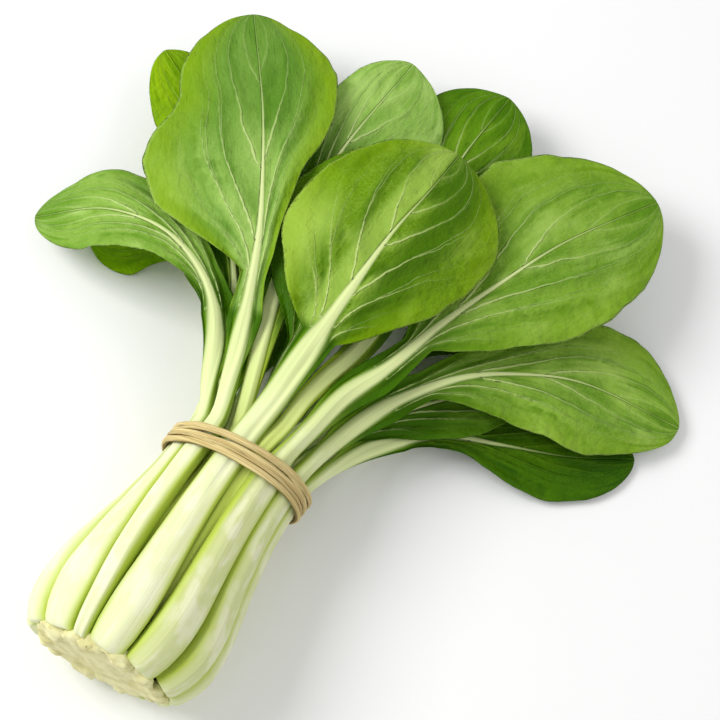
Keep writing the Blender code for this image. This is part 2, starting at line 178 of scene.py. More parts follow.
# Radius of a ring of stalk centres at distances along the head
OUTER_RING = (
    (-1.5, 24.2), (5, 27.6), (14, 29.4), (24, 29.3), (37, 27.7), (50, 26.2), (66, 24.9), (84, 24.2),
    (94, 24.3),
)
INNER_RING = ((8, 12.5), (14, 16.0), (24, 19.5), (37, 19.6), (50, 18.6), (66, 16.9), (84, 16.2), (94, 16.3))
RISING_RING = (
    (8, 12.5), (14, 16.0), (24, 19.5), (37, 19.6), (50, 19.2), (66, 19.2), (78, 20.4), (88, 21.2),
    (94, 21.8),
)
HEART_RING = ((22, 3.0), (37, 5.0), (60, 5.5), (84, 5.0), (94, 5.0))

# Stalk thickness: at the base, at the tie and at the neck of the blade
OUTER_THICK = (9.0, 6.0, 4.4)
INNER_THICK = (6.5, 4.8, 3.8)
HEART_THICK = (3.0, 2.8, 2.0)


class Leaf(NamedTuple):
    """One leaf. Left and right are seen with the outer face towards you and the tip up."""

    ring: tuple               # ring profile that its stalk follows below the tie
    thick: tuple              # stalk thickness at the base, at the tie and at the neck
    base: tuple               # part of the ring it fills at the root, in degrees
    tied: tuple               # part of the ring it fills at the tie
    path: tuple               # points of the midrib above the tie, ending at the tip
    blade: float              # length of the blade along its midrib
    left: tuple               # half-widths at one sixth to five sixths of the blade
    right: tuple
    neck: float = 3.4         # half-width of the stalk where the blade starts
    face: int = 1             # 1 with the outer face up, -1 with the inner face up
    roll: float = 0.0         # degrees turned about the midrib
    cup: float = 6.0          # how far the margins fall back from the middle
    wave: float = 1.4         # height of the ripples along the margin
    phase: float = 0.0


# %% The upper outer leaves, from the left round to the right
LEAVES = {
    "outer_leaf_01": Leaf(
        OUTER_RING, OUTER_THICK, (120, 150), (149, 172),
        ((-31, 106, 45), (-40, 122, 46.5), (-56, 137, 46), (-78, 144, 44), (-102, 141, 35),
         (-126, 129, 12)),
        blade=100, left=(5, 10, 14, 17, 15), right=(8, 12, 19, 21, 16),
        neck=3.8, roll=8, cup=4, phase=0.4,
    ),
    "outer_leaf_02": Leaf(
        OUTER_RING, OUTER_THICK, (108, 120), (127, 148),
        ((-25, 109, 53), (-32, 126, 54), (-48, 160, 54), (-61, 182, 52), (-78, 208, 48),
         (-106, 245, 38)),
        blade=137, left=(11, 41, 45, 34, 29), right=(6, 10, 18, 30, 31),
        neck=3.6, cup=6, wave=2.2, phase=1.3,
    ),
    "outer_leaf_03": Leaf(
        OUTER_RING, OUTER_THICK, (79.5, 108), (91, 115),
        ((-6.6, 108, 58.5), (-7, 122, 60), (-7.4, 137, 61.5), (-8, 170, 63), (-8, 192, 61),
         (-6, 218, 57), (-5, 241, 51)),
        blade=104, left=(26, 37, 38, 35, 28), right=(20, 31, 36, 38, 33),
        neck=5.2, cup=7, wave=1.0, phase=2.2,
    ),
    "outer_leaf_04": Leaf(
        OUTER_RING, OUTER_THICK, (50, 78), (51, 77),
        ((11, 110, 53), (14, 130, 51.5), (20.5, 148, 50), (28, 178, 48), (38, 210, 45), (49, 241, 42),
         (72, 288, 32)),
        blade=156, left=(8, 24, 38, 43, 33), right=(6, 22, 33, 36, 30),
        neck=3.9, cup=5, wave=1.8, phase=0.9,
    ),
    "outer_leaf_05": Leaf(
        OUTER_RING, OUTER_THICK, (19, 44), (25, 49),
        ((21, 115, 42), (29, 140, 39), (47, 171, 34), (65, 189, 29), (88, 205, 23), (134, 222, 7)),
        blade=142, left=(8, 13, 21, 29, 27), right=(6, 17, 24, 28, 21),
        neck=3.7, cup=4, wave=1.8, phase=3.1,
    ),
    "outer_leaf_06": Leaf(
        OUTER_RING, OUTER_THICK, (-6, 19), (-1, 24),
        ((31, 121, 29), (42, 139, 22), (55, 154, 16), (77, 168, 10), (103, 183, 6), (126, 200, 4)),
        blade=106, left=(10, 18, 22, 22, 17), right=(5, 8, 16, 19, 16),
        neck=3.6, cup=1.5, wave=0.8, phase=4.0,
    ),
}

# %% The outer leaves underneath, from the right round to the left
LEAVES |= {
    "outer_leaf_07": Leaf(
        OUTER_RING, OUTER_THICK, (-42, -10), (-34, -2),
        ((23.2, 108, 21.8), (32, 130, 12.5), (47, 156, 6), (66, 184, 3.2), (84, 212, 3.2)),
        blade=78, left=(10, 16, 20, 20, 16), right=(8, 14, 18, 19, 16),
        face=-1, cup=1.2, wave=0.6, phase=5.0,
    ),
    "outer_leaf_08": Leaf(
        OUTER_RING, OUTER_THICK, (-76, -42), (-64, -34),
        ((12.5, 107, 12), (17, 135, 9), (21, 160, 9), (27, 188, 9), (34, 220, 9), (40, 250, 9)),
        blade=78, left=(9, 18, 23, 24, 19), right=(9, 18, 23, 24, 19),
        face=-1, cup=1.2, wave=0.6, phase=0.2,
    ),
    "outer_leaf_09": Leaf(
        OUTER_RING, OUTER_THICK, (-110, -76), (-98, -67),
        ((-2, 108, 8), (-10, 145, 3.6), (-23, 185, 3.2), (-32, 222, 3.2), (-38, 252, 3.2)),
        blade=124, left=(10, 18, 26, 29, 22), right=(10, 18, 26, 29, 22),
        face=-1, cup=1.2, wave=0.6, phase=1.7,
    ),
    "outer_leaf_10": Leaf(
        OUTER_RING, OUTER_THICK, (-143, -110), (-130, -98),
        ((-15, 108, 12), (-23, 142, 9.5), (-44, 180, 8.5), (-65, 208, 8.5), (-82, 232, 8.5)),
        blade=118, left=(11, 20, 27, 28, 21), right=(11, 20, 27, 28, 21),
        face=-1, cup=1.2, wave=0.6, phase=2.9,
    ),
    "outer_leaf_11": Leaf(
        OUTER_RING, OUTER_THICK, (-176, -143), (-160, -130),
        ((-24, 108, 20.6), (-32, 124, 16), (-44, 142, 12.5), (-60, 152, 8), (-80, 154, 3.4),
         (-109, 143, 3.2)),
        blade=44, left=(10, 16, 18, 17, 13), right=(4, 10, 16, 17, 14),
        face=-1, cup=1.2, wave=0.6, phase=3.8,
    ),
    "outer_leaf_12": Leaf(
        OUTER_RING, OUTER_THICK, (-210, -176), (-188, -160),
        ((-28, 105, 32), (-38, 128, 29), (-50, 152, 25), (-66, 176, 21), (-82, 198, 18)),
        blade=100, left=(4, 12, 21, 24, 18), right=(12, 19, 24, 24, 18), cup=2, wave=0.8, phase=5.6,
    ),
}

# %% The inner leaves and the heart leaf
LEAVES |= {
    "inner_leaf_01": Leaf(
        INNER_RING, INNER_THICK, (148, 180), (148, 180),
        ((-22, 108, 39), (-44, 143, 38), (-70, 174, 36), (-98, 199, 33), (-126, 213, 29)),
        blade=130, left=(6, 9, 13, 18, 18), right=(8, 11, 14, 18, 18), neck=3.0, cup=2, phase=0.7,
    ),
    "inner_leaf_02": Leaf(
        INNER_RING, INNER_THICK, (114, 147), (115, 133),
        ((-11.8, 98, 48.6), (-14.9, 106, 51.4), (-19.3, 117, 52.4), (-25, 132, 50), (-31, 150, 45),
         (-38, 178, 41), (-44, 214, 39), (-43, 273, 32)),
        blade=104, left=(10, 14, 17, 18, 16), right=(16, 23, 27, 30, 29), neck=3.2, cup=4, phase=1.9,
    ),
    "inner_leaf_03": Leaf(
        INNER_RING, INNER_THICK, (86, 113), (94, 112),
        ((-6, 104, 43.5), (-12, 132, 49), (-15, 168, 53), (-15, 202, 50), (-14, 236, 42)),
        blade=114, left=(9, 27, 36, 35, 27), right=(13, 22, 28, 27, 20),
        neck=3.4, cup=7, wave=1.0, phase=2.4,
    ),
    "inner_leaf_04": Leaf(
        RISING_RING, INNER_THICK, (53, 85), (76.5, 90.5),
        ((2.2, 104, 54.2), (2.4, 111, 54.6), (2.6, 119, 53.8), (4.3, 132, 51), (7, 146, 46.5),
         (8, 164, 41), (3, 200, 35), (-4, 250, 29), (-3, 292, 23)),
        blade=96, left=(13, 22, 27, 26, 22), right=(13, 20, 24, 26, 23), neck=3.2, cup=2.5, phase=3.4,
    ),
    "inner_leaf_05": Leaf(
        INNER_RING, INNER_THICK, (19, 52), (12, 45),
        ((17, 108, 34), (27, 130, 30), (40, 154, 24.5), (57, 176, 19.5), (76, 194, 15)),
        blade=86, left=(7, 10, 12, 13, 10), right=(8, 13, 16, 16, 12),
        neck=3.0, cup=1.5, wave=0.8, phase=4.6,
    ),
    "heart_leaf": Leaf(
        HEART_RING, HEART_THICK, (-30, 90), (-10, 70),
        ((6, 106, 40), (8, 118, 42.5), (9, 127, 43), (9, 137, 43)),
        blade=26, left=(3, 4.5, 5, 4.5, 3.5), right=(3, 4.5, 5, 4.5, 3.5),
        neck=2.0, cup=1, wave=0.3, phase=0.1,
    ),
}
print(len(LEAVES), "leaves described")

# %% [markdown]
# ## The line a leaf grows along
#
# Stalk and midrib are one line, so one smooth curve is drawn through the places in the ring and
# then through the points above the tie. A centripetal Catmull-Rom curve is used because it passes
# through every point and doesn't overshoot where two points are close.

# %% A smooth curve
def curve_through(points, steps=24):
    """A smooth line through the points."""
    ends = [points[0] * 2 - points[1], *points, points[-1] * 2 - points[-2]]
    line = []
    for before, start, stop, after in zip(ends, ends[1:], ends[2:], ends[3:]):
        knots = [0.0]
        for a, b in ((before, start), (start, stop), (stop, after)):
            knots.append(knots[-1] + math.sqrt((b - a).length))
        for step in range(steps):
            t = knots[1] + (knots[2] - knots[1]) * step / steps
            near = [
                a.lerp(b, (t - k0) / (k1 - k0))
                for a, b, k0, k1 in zip((before, start, stop), (start, stop, after), knots, knots[1:])
            ]
            middle = [
                near[i].lerp(near[i + 1], (t - knots[i]) / (knots[i + 2] - knots[i])) for i in (0, 1)
            ]
            line.append(middle[0].lerp(middle[1], (t - knots[1]) / (knots[2] - knots[1])))
    return [*line, points[-1].copy()]


# %% The spine of a leaf
DIRECTION_REACH = 1.5         # how far to both sides a direction is measured


class Spine:
    """The line that a leaf grows along, measured by its length."""

    def __init__(self, leaf):
        """Draws the line through the seats in the ring and the points above the tie."""
        self.leaf = leaf
        seats = [self.seat(y, radius) for y, radius in leaf.ring]
        self.line = curve_through(seats + [Vector(p) for p in leaf.path])
        self.at = [0.0]
        for a, b in zip(self.line, self.line[1:]):
            self.at.append(self.at[-1] + (b - a).length)
        self.length = self.at[-1]
        self.tied = self.at[min(range(len(self.line)), key=lambda i: abs(self.line[i].y - TIE_Y))]
        self.neck = self.length - leaf.blade

    def edges(self, y):
        """The part of the ring the stalk fills at y, in degrees."""
        share = smoothstep(0, TIE_Y, y)
        return [b + (t - b) * share for b, t in zip(self.leaf.base, self.leaf.tied)]

    def outward(self, y):
        """The direction out of the head at the stalk's middle."""
        turn = math.radians(sum(self.edges(y)) / 2)
        return Vector((math.cos(turn), 0, math.sin(turn)))

    def seat(self, y, radius):
        """Where the stalk's middle stands at y, on a ring that is a little wider than high."""
        place = self.outward(y) * radius
        place.x *= 1 + BELLY_SPREAD * (1 - smoothstep(20, TIE_Y, y))
        return slanted(place + axis_point(y))

    def point(self, s):
        """The point at a distance s along the leaf."""
        s = min(max(s, 0.0), self.length)
        i = next((i for i, at in enumerate(self.at) if at > s), len(self.at) - 1)
        share = (s - self.at[i - 1]) / (self.at[i] - self.at[i - 1])
        return self.line[i - 1].lerp(self.line[i], share)

    def direction(self, s):
        """The direction of the line at s, smoothed over a few millimetres."""
        return (self.point(s + DIRECTION_REACH) - self.point(s - DIRECTION_REACH)).normalized()


SPINES = {name: Spine(leaf) for name, leaf in LEAVES.items()}
print("longest leaf:", round(max(s.length for s in SPINES.values())), "mm")

# %% [markdown]
# ## The veins
#
# Side veins leave the midrib one after another and sweep towards the margin. Near the neck they
# run almost straight out, and further up they lean more and more towards the tip. Each vein is a
# curve of "how far up the blade" against "how far out", and the curves are numbered. Every point of
# the mesh stores its place between them as one number, so a material can find the nearest vein
# exactly, and draw a line much finer than the mesh.

# %% Vein curves
VEIN_LEAN = 1.05              # how far up the blade an upper vein runs on its way to the margin
LEAN_START = -0.02            # place up the blade below which veins run straight out
LEAN_GROWTH = 0.08            # share of the blade over which the lean builds up
VEIN_BEND = 1.2               # above 1, a vein leans more and more on its way out

# Places up the blade where veins leave the midrib. Those below 0 leave it under the neck
VEIN_STARTS = (-0.20, -0.08, 0.02, 0.13, 0.30, 0.52, 0.76, 1.02)

# Two leaves have their own places for them, on the left and on the right
OWN_STARTS = {
    "outer_leaf_02": (
        (-0.22, -0.08, 0.03, 0.12, 0.23, 0.45, 0.74, 1.03),
        (-0.22, -0.08, 0.05, 0.22, 0.49, 0.79, 1.06),
    ),
    "outer_leaf_03": (
        (-0.22, -0.08, 0.02, 0.07, 0.26, 0.52, 0.78, 1.03),
        (-0.22, -0.09, 0.0, 0.06, 0.21, 0.44, 0.63, 0.84, 1.06),
    ),
}


def vein_place(share, out, starts, blade, wing):
    """Number of the vein curves at a point, and how far apart they are there, in mm."""
    curves = []
    for start in starts:
        lean = VEIN_LEAN * (1 - math.exp(-max(0.0, start - LEAN_START) / LEAN_GROWTH))
        curves.append((start + lean * out ** VEIN_BEND, lean))
    i = 0
    while i < len(curves) - 2 and curves[i + 1][0] < share:
        i += 1
    (low, lean), (high, _) = curves[i], curves[i + 1]
    step = high - low
    number = i + (share - low) / step
    slope = lean * VEIN_BEND * out ** (VEIN_BEND - 1) / max(wing, 1.0)
    gap = step / math.hypot(1 / blade, slope)
    return min(max(number, 0.0), len(starts) - 1.0), gap


# %% [markdown]
# ## The cross-section of a leaf
#
# At the root a stalk is a broad, thick, slightly bent bar. At the neck it narrows to a rib, and a
# thin wing grows out of each of its sides. Both shapes have the same number of points, so one can
# turn into the other along the leaf, as it does on the plant.

# %% Points of the cross-section
RIB_REACH = 0.24              # part of the section's points, from the middle, that belong to the rib
RIB_STEPS = 6                 # steps over the rib and over the wing, on each side
WING_STEPS = 26
WING_SPACING = 0.92           # below 1, the points lie closer together at the margin
ribbed = [i / RIB_STEPS * RIB_REACH for i in range(RIB_STEPS + 1)]
winged = [
    RIB_REACH + (1 - RIB_REACH) * (i / WING_STEPS) ** WING_SPACING for i in range(1, WING_STEPS + 1)
]
HALF_ACROSS = ribbed + winged
ACROSS = [-v for v in reversed(HALF_ACROSS[1:])] + HALF_ACROSS
print(len(ACROSS), "points over each face of a leaf")


# %% Widths
def ring_radius(ring, y):
    """Radius of a ring profile at y, straight between its points."""
    for (y0, r0), (y1, r1) in zip(ring, ring[1:]):
        if y <= y1:
            return r0 + (r1 - r0) * max(0.0, (y - y0) / (y1 - y0))
    return ring[-1][1]


def half_width(start, widths, share):
    """Half-width of one side of a blade: smooth through its five widths, with a round tip."""
    squares = [start * start, *(w * w for w in widths), 0.0]
    squares = [2 * squares[0] - squares[1], *squares, -squares[-2]]
    place = min(share, 0.9999) * 6
    i = int(place)
    t = place - i
    a, b, c, d = squares[i:i + 4]
    value = b + 0.5 * t * (c - a + t * (2 * a - 5 * b + 4 * c - d + t * (3 * (b - c) + d - a)))
    return math.sqrt(max(0.0, value))


# %% The stalk at one place
NARROWING = 16.0              # length above the tie over which a stalk takes its own width
ROUND_END = 3.5               # length over which a stalk rounds off at the root
END_WIDTH = 0.93              # width of its blunt end, as part of the full width
END_THICK = 0.50              # and its thickness
INNER_BULGE = 1.5             # how much thicker the inner stalks are below the tie


def stalk_section(leaf, spine, s):
    """Half-width, thickness and bend round the head of the stalk at s."""
    y = spine.point(s).y
    low, high = spine.edges(y)
    radius = ring_radius(leaf.ring, y)
    room = math.radians(high - low) / 2 * radius * RING_FILL
    freed = smoothstep(spine.tied - 4, spine.neck, s)
    narrowed = smoothstep(spine.tied - 4, spine.tied + NARROWING, s)
    half = room + (leaf.neck - room) * narrowed
    base, tied, neck = leaf.thick
    thick = base + (tied - base) * smoothstep(12, spine.tied, s) + (neck - tied) * freed
    opened = math.sqrt(1 - (1 - min(1.0, s / ROUND_END)) ** 2)
    half *= END_WIDTH + (1 - END_WIDTH) * opened
    thick *= END_THICK + (1 - END_THICK) * opened
    return half, thick, (1 - freed) / (2 * radius)


def inner_swell(leaf, spine, s):
    """How far an inner stalk bulges into the gaps between the outer ones below the tie."""
    if leaf.ring is OUTER_RING:
        return 0.0
    return INNER_BULGE * smoothstep(0, 8, s) * (1 - smoothstep(spine.tied - 25, spine.tied, s))


# %% Furrows
FURROW_WIDTH = 0.16           # width of a furrow, as part of half the section

# Where a furrow lies across a stalk, from -1 at its left edge to 1 at its right one, and its depth
FURROWS = {
    "outer_leaf_02": (0.55, 0.5),
    "outer_leaf_03": (0.22, 1.1),
    "outer_leaf_04": (-0.45, 0.5),
}


def furrow(name, spine, v, s):
    """Depth of a long furrow in the stalk's outer face, for the leaves that have one."""
    if name not in FURROWS:
        return 0.0
    middle, depth = FURROWS[name]
    begun = smoothstep(spine.tied - 30, spine.tied, s)
    ended = smoothstep(spine.neck - 8, spine.neck + 6, s)
    return depth * begun * (1 - ended) * math.exp(-((v - middle) / FURROW_WIDTH) ** 2)


# %% [markdown]
# A blade doesn't stop at the neck: a narrow green strip of it, a frill, runs on down both edges of
# the stalk and thins out above the tie. It could be a mesh of its own, but it has to pass into the
# blade without a step, so it takes a few of the section's points instead.

# %% Frills
FRILL_COLUMNS = 0.25          # part of each half of the section that a frill takes
FRILL_THICK = 0.4
FRILL_SLIDE = 30.0            # length over which the frill's columns spread over the blade
FRILL_FALL = 0.35             # how far a frill falls back, for each mm of its width

# Where a frill starts above the tie, and its full width on the left and on the right
FRILLS = {
    "outer_leaf_01": (20, 0.8, 7.0),
    "outer_leaf_02": (26, 2.5, 3.0),
    "outer_leaf_03": (22, 1.5, 2.0),
    "outer_leaf_04": (18, 3.0, 4.0),
    "outer_leaf_05": (20, 5.5, 3.0),
    "outer_leaf_06": (18, 6.0, 0.6),
    "inner_leaf_01": (20, 6.0, 6.0),
    "inner_leaf_02": (12, 1.5, 5.0),
    "inner_leaf_04": (14, 4.0, 4.5),
}


def frill(name, spine, s):
    """How far the frill has opened at s, and its width on the left and on the right."""
    if name not in FRILLS:
        return 0.0, {-1: 0.0, 1: 0.0}
    start, left, right = FRILLS[name]
    opened = smoothstep(spine.tied + start, max(spine.neck, spine.tied + 2 * start), s)
    return opened, {-1: left * opened, 1: right * opened}


# %% Where a section stands
TURNED_BY = 0.12              # part of the blade's length by which it has its own turn


def leaf_frame(leaf, spine, s):
    """Where the section at s stands: its middle, the direction across it and its outer normal."""
    along = spine.direction(s)
    upright = Vector((0, 0, leaf.face))
    upright -= along * along.dot(upright)
    upright.rotate(Quaternion(along, math.radians(leaf.roll)))
    middle = spine.point(s)
    turned = smoothstep(spine.tied, spine.neck + TURNED_BY * leaf.blade, s)
    normal = spine.outward(middle.y).lerp(upright.normalized(), turned)
    normal = (normal - along * normal.dot(along)).normalized()
    return middle, along.cross(normal), normal


# %% [markdown]
# ## One point of a section
#
# What all points of a section share is measured once. Then each point is worked out twice, as a
# point of a stalk and as a point of a blade, and stands between the two. The blade also gets what
# makes it look alive: hollows between the veins, ripples, and a margin that wanders and thins out.

# %% What all points of a section share
STALK_SQUARENESS = 0.55       # below the tie: 1 gives a round section, less a squarer one
RIB_SQUARENESS = 0.95         # and above it
LOOSENING = (-8.0, 14.0)      # where the one turns into the other, from the tie on
NECK_BLEND = 14.0             # length over which stalk turns into blade
RIB_TAPER = 3.0               # how fast the midrib narrows towards the tip
RIB_LEAST = 0.4               # half-width of the midrib at the tip
RIB_STEP = 0.30               # part of its width that the midrib loses about the neck
RIB_SHRINK = (-0.10, 0.15)    # where it loses that, as shares of the blade


class Section(NamedTuple):
    """The section at one place along a leaf."""

    name: str
    leaf: Leaf
    spine: Spine
    s: float                  # distance along the leaf
    share: float              # the same as a share of the blade, below 0 on the stalk
    grown: float              # the same, but 0 on the stalk
    blend: float              # 0 where it is a stalk and 1 where it is a blade
    half: float               # the stalk's half-width, thickness and bend round the head
    thick: float
    bend: float
    squareness: float
    rib: float                # half-width of the midrib
    wide: dict                # half-width of the blade on the left (-1) and on the right (1)
    opened: float             # how far the frill has opened
    frills: dict              # its width on the left (-1) and on the right (1)
    body_end: float           # part of the section's points that belong to the stalk's body
    rib_end: float            # part of them that belongs to the midrib


def section_at(name, s):
    """Measures the section of a leaf at s."""
    leaf, spine = LEAVES[name], SPINES[name]
    half, thick, bend = stalk_section(leaf, spine, min(s, spine.neck))
    share = (s - spine.neck) / leaf.blade
    grown = max(0.0, share)
    rib = half if share < 0 else leaf.neck * (1 - grown) ** RIB_TAPER + RIB_LEAST
    rib *= 1 - RIB_STEP * smoothstep(*RIB_SHRINK, share)
    loosened = smoothstep(*(spine.tied + shift for shift in LOOSENING), s)
    opened, frills = frill(name, spine, s)
    wide = {}
    for side, widths in ((-1, leaf.left), (1, leaf.right)):
        least = rib + RIB_LEAST + frills[side] * (1 - grown)
        wide[side] = max(half_width(leaf.neck, widths, grown), least)
    body_end = 1 - FRILL_COLUMNS * opened
    # Past the neck, the columns of the frill spread over the blade until the midrib has its share
    slid = smoothstep(spine.neck, spine.neck + FRILL_SLIDE, s) if opened else 1.0
    return Section(
        name=name, leaf=leaf, spine=spine, s=s, share=share, grown=grown,
        blend=smoothstep(spine.neck - NECK_BLEND, spine.neck + NECK_BLEND * 0.6, s),
        half=half, thick=thick, bend=bend,
        squareness=STALK_SQUARENESS + (RIB_SQUARENESS - STALK_SQUARENESS) * loosened,
        rib=rib, wide=wide, opened=opened, frills=frills,
        body_end=body_end, rib_end=body_end + (RIB_REACH - body_end) * slid,
    )


# %% A point of the stalk
OUTER_SHARE = 0.42            # part of the thickness that lies outside the stalk's middle line
FACETS = 0.42                 # height of the long soft facets of a stalk


def facets(cut, v):
    """How far the long soft facets of a stalk stand out, above and below 0."""
    phase = cut.leaf.phase
    return noise.noise(Vector((v * 1.5, cut.s / 14, phase * 5))) + math.sin(8 * v + phase * 3) / 2


def stalk_place(cut, v, body, frilled, side, outer):
    """Across and outwards, for a point of the stalk or of its frill."""
    x = side * cut.half * math.sin(math.pi / 2 * body)
    swell = max(0.0, math.cos(math.pi / 2 * body)) ** cut.squareness
    z = cut.thick * (OUTER_SHARE if outer else OUTER_SHARE - 1) * swell
    z -= x * x * cut.bend
    if outer:
        z += (inner_swell(cut.leaf, cut.spine, cut.s) + FACETS * facets(cut, v)) * swell
        z -= furrow(cut.name, cut.spine, v, cut.s)
    width = cut.frills[side] * frilled
    skin_half = FRILL_THICK / 2 * min(1.0, 8 * frilled) * (1 - frilled ** 6)
    return x + side * width, z - FRILL_FALL * width + (skin_half if outer else -skin_half)


# %% A point of the blade
BLADE_THICK = 0.8
RIB_RISE = 0.5                # height of the midrib over its half-width
UNEVEN_MARGIN = 0.035         # how far the margin wanders, as part of the wing's width
RIPPLE_RATE = 16.0            # turns of the ripple along the margin, in radians
RIPPLE_SHIFT = 1.9            # how far the ripples of the two margins are apart
RIPPLE_REACH = 2.5            # the higher, the closer to the margin the ripples stay
CRINKLES = 0.5                # height of the margin's small crinkles, for each mm of ripple
SWELLS = 1.2                  # height of the slow swells of a blade
PUFF = 1.2                    # depth of the hollows between veins


def uneven_wing(cut, side):
    """Width of one wing, from the midrib to a margin that wanders a little."""
    wing = cut.wide[side] - cut.rib
    wander = noise.noise(Vector((cut.s / 11, side * 3.1, cut.leaf.phase * 7)))
    wander += 0.25 * noise.noise(Vector((cut.s / 4, side * 5.7, cut.leaf.phase * 3)))
    free = min(1.0, wing / 10) * min(1.0, 5 * (1 - cut.grown))
    return wing * (1 + UNEVEN_MARGIN * wander * free)


def blade_waves(cut, x, out, side):
    """Ripples and crinkles of the margin, and the slow swells of the whole blade."""
    leaf = cut.leaf
    full = max(*leaf.left, *leaf.right)
    ripple = math.sin(RIPPLE_RATE * cut.grown + leaf.phase + RIPPLE_SHIFT * side)
    crinkle = noise.noise(Vector((cut.grown * leaf.blade / 5, side * 7.3, leaf.phase)))
    swells = noise.noise(Vector((x / 16, cut.s / 20, leaf.phase * 9)))
    return (
        leaf.wave * abs(x / full) ** RIPPLE_REACH * ripple
        + CRINKLES * leaf.wave * out ** 4 * crinkle
        + SWELLS * swells * smoothstep(0, 0.5, out) * min(1.0, 4 * (1 - cut.grown))
    )


def hollow(cut, out, number, gap):
    """Depth of the hollow between two veins. It fades at the midrib, the margin and the tip."""
    inside = smoothstep(0, 0.2, out) * (1 - smoothstep(0.7, 1, out))
    inside *= 1 - smoothstep(0.6, 0.95, cut.grown)
    return PUFF * min(1.0, gap / 12) * inside * math.sin(math.pi * number) ** 2


def blade_place(cut, reach, out, wing, side, outer):
    """Across and outwards, for a point of the blade between its hollows."""
    x = side * (cut.rib * min(1.0, reach / cut.rib_end) + wing * out)
    z = BLADE_THICK / 2 * (1 - out ** 6) * (1 if outer else -1)
    if outer:
        z += RIB_RISE * (1 - cut.grown) * cut.rib * max(0.0, 1 - (x / cut.rib) ** 2)
    full = max(*cut.leaf.left, *cut.leaf.right)
    return x, z - cut.leaf.cup * (x / full) ** 2 + blade_waves(cut, x, out, side)


# %% The whole section, with what each point is made of
LEAST_SHARE = 0.01            # a part of the section smaller than this counts as this


def beyond(reach, end):
    """How far a point lies from the end of a part to the margin, from 0 to 1."""
    return max(0.0, reach - end) / max(1 - end, LEAST_SHARE)


def section_point(cut, v, outer):
    """Across and outwards, and the four markings, for one point of the section."""
    side = -1 if v < 0 else 1
    reach = abs(v)
    body = min(1.0, reach / cut.body_end)
    frilled = beyond(reach, cut.body_end)
    out = beyond(reach, cut.rib_end)
    starts = OWN_STARTS.get(cut.name, (VEIN_STARTS, VEIN_STARTS))[0 if side < 0 else 1]
    wing = uneven_wing(cut, side)
    number, gap = vein_place(cut.share, out, starts, cut.leaf.blade, wing)
    round_x, round_z = stalk_place(cut, v, body, frilled, side, outer)
    flat_x, flat_z = blade_place(cut, reach, out, wing, side, outer)
    flat_z -= hollow(cut, out, number, gap)
    x = round_x + (flat_x - round_x) * cut.blend
    z = round_z + (flat_z - round_z) * cut.blend
    leafy = max(cut.blend, min(1.0, 4 * frilled) * cut.opened)
    return x, z, {
        "grow": (x, cut.s, 1.0 if outer else 0.0),
        "tissue": (leafy, body, cut.s / cut.spine.neck),
        "lamina": (out, cut.grown, cut.rib),
        "veins": (number, gap, (1 - out) * (1 - 0.5 * cut.grown)),
    }


def leaf_section(name, s):
    """Points round the section at s, over the outer face and back, each with its markings."""
    cut = section_at(name, s)
    middle, across, normal = leaf_frame(cut.leaf, cut.spine, s)
    over = [(v, True) for v in ACROSS]
    back = [(v, False) for v in reversed(ACROSS[:-1])]
    ring = []
    for v, outer in over + back:
        x, z, marks = section_point(cut, v, outer)
        ring.append((in_frame(middle + across * x + normal * z), marks))
    return ring


# %% [markdown]
# ## Making a leaf
#
# A leaf is a closed skin that is much longer than it is wide. It starts as a flat grid, whose
# columns go round the section and whose rows go from the root to the tip. The rows are laid on the
# sections one by one, then the first and last columns are merged and both ends are closed. A grid
# does this in one operator, where extruding ring after ring would take hundreds.

# %% Laying a grid on sections
# Three numbers in each. grow: across, along, and 1 on the outer face. tissue: blade or stalk, how
# far from the crown, and share of the stalk. lamina: how far out, how far up, and half-width of the
# midrib. veins: place between the numbered curves, how far they are apart, and how strong they are.
MARKINGS = ("grow", "tissue", "lamina", "veins")


def skin(name, sections, markings=()):
    """A closed skin over rings of (place, markings). Each ring's first and last point are the same."""
    columns, rows = len(sections[0]) - 1, len(sections) - 1
    bm = bmesh.new()
    bmesh.ops.create_grid(bm, x_segments=columns, y_segments=rows, size=1)
    bm.verts.ensure_lookup_table()
    layers = {m: bm.verts.layers.float_vector.new(m) for m in markings}
    for row, section in enumerate(sections):
        for column, (place, marks) in enumerate(section):
            vert = bm.verts[row * (columns + 1) + column]
            vert.co = place
            for m, layer in layers.items():
                vert[layer] = marks[m]
    seam = [bm.verts[row * (columns + 1) + end] for row in range(rows + 1) for end in (0, columns)]
    bmesh.ops.remove_doubles(bm, verts=seam, dist=1e-7)
    open_edges = [e for e in bm.edges if e.is_boundary]
    bmesh.ops.holes_fill(bm, edges=open_edges, sides=0)
    bmesh.ops.recalc_face_normals(bm, faces=bm.faces)
    mesh = bpy.data.meshes.new(name)
    bm.to_mesh(mesh)
    bm.free()
    mesh.shade_smooth()
    piece = bpy.data.objects.new(name, mesh)
    bpy.context.scene.collection.objects.link(piece)
    return piece


def dress(piece, node, finish):
    """Lets a piece stand for its CAD node, and gives it its finish."""
    piece.data.materials.append(finish)
    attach(piece, "root")
    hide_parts(node)
    return piece


# %% [markdown]
# ## Words for materials
#
# Materials are node trees. These few helpers keep them readable: each adds one node, feeds it from
# numbers or from other nodes, and gives back its output.

# %% Colours and sums
def colour(red, green, blue):
    """A colour given in screen values from 0 to 255, as linear light."""
    light = [c / 255 for c in (red, green, blue)]
    return (*(c / 12.92 if c <= 0.04045 else ((c + 0.055) / 1.055) ** 2.4 for c in light), 1.0)


def feed(tree, socket, value):
    """Gives a socket a number, a colour or another node's output."""
    if isinstance(value, bpy.types.NodeSocket):
        tree.links.new(value, socket)
    else:
        socket.default_value = value


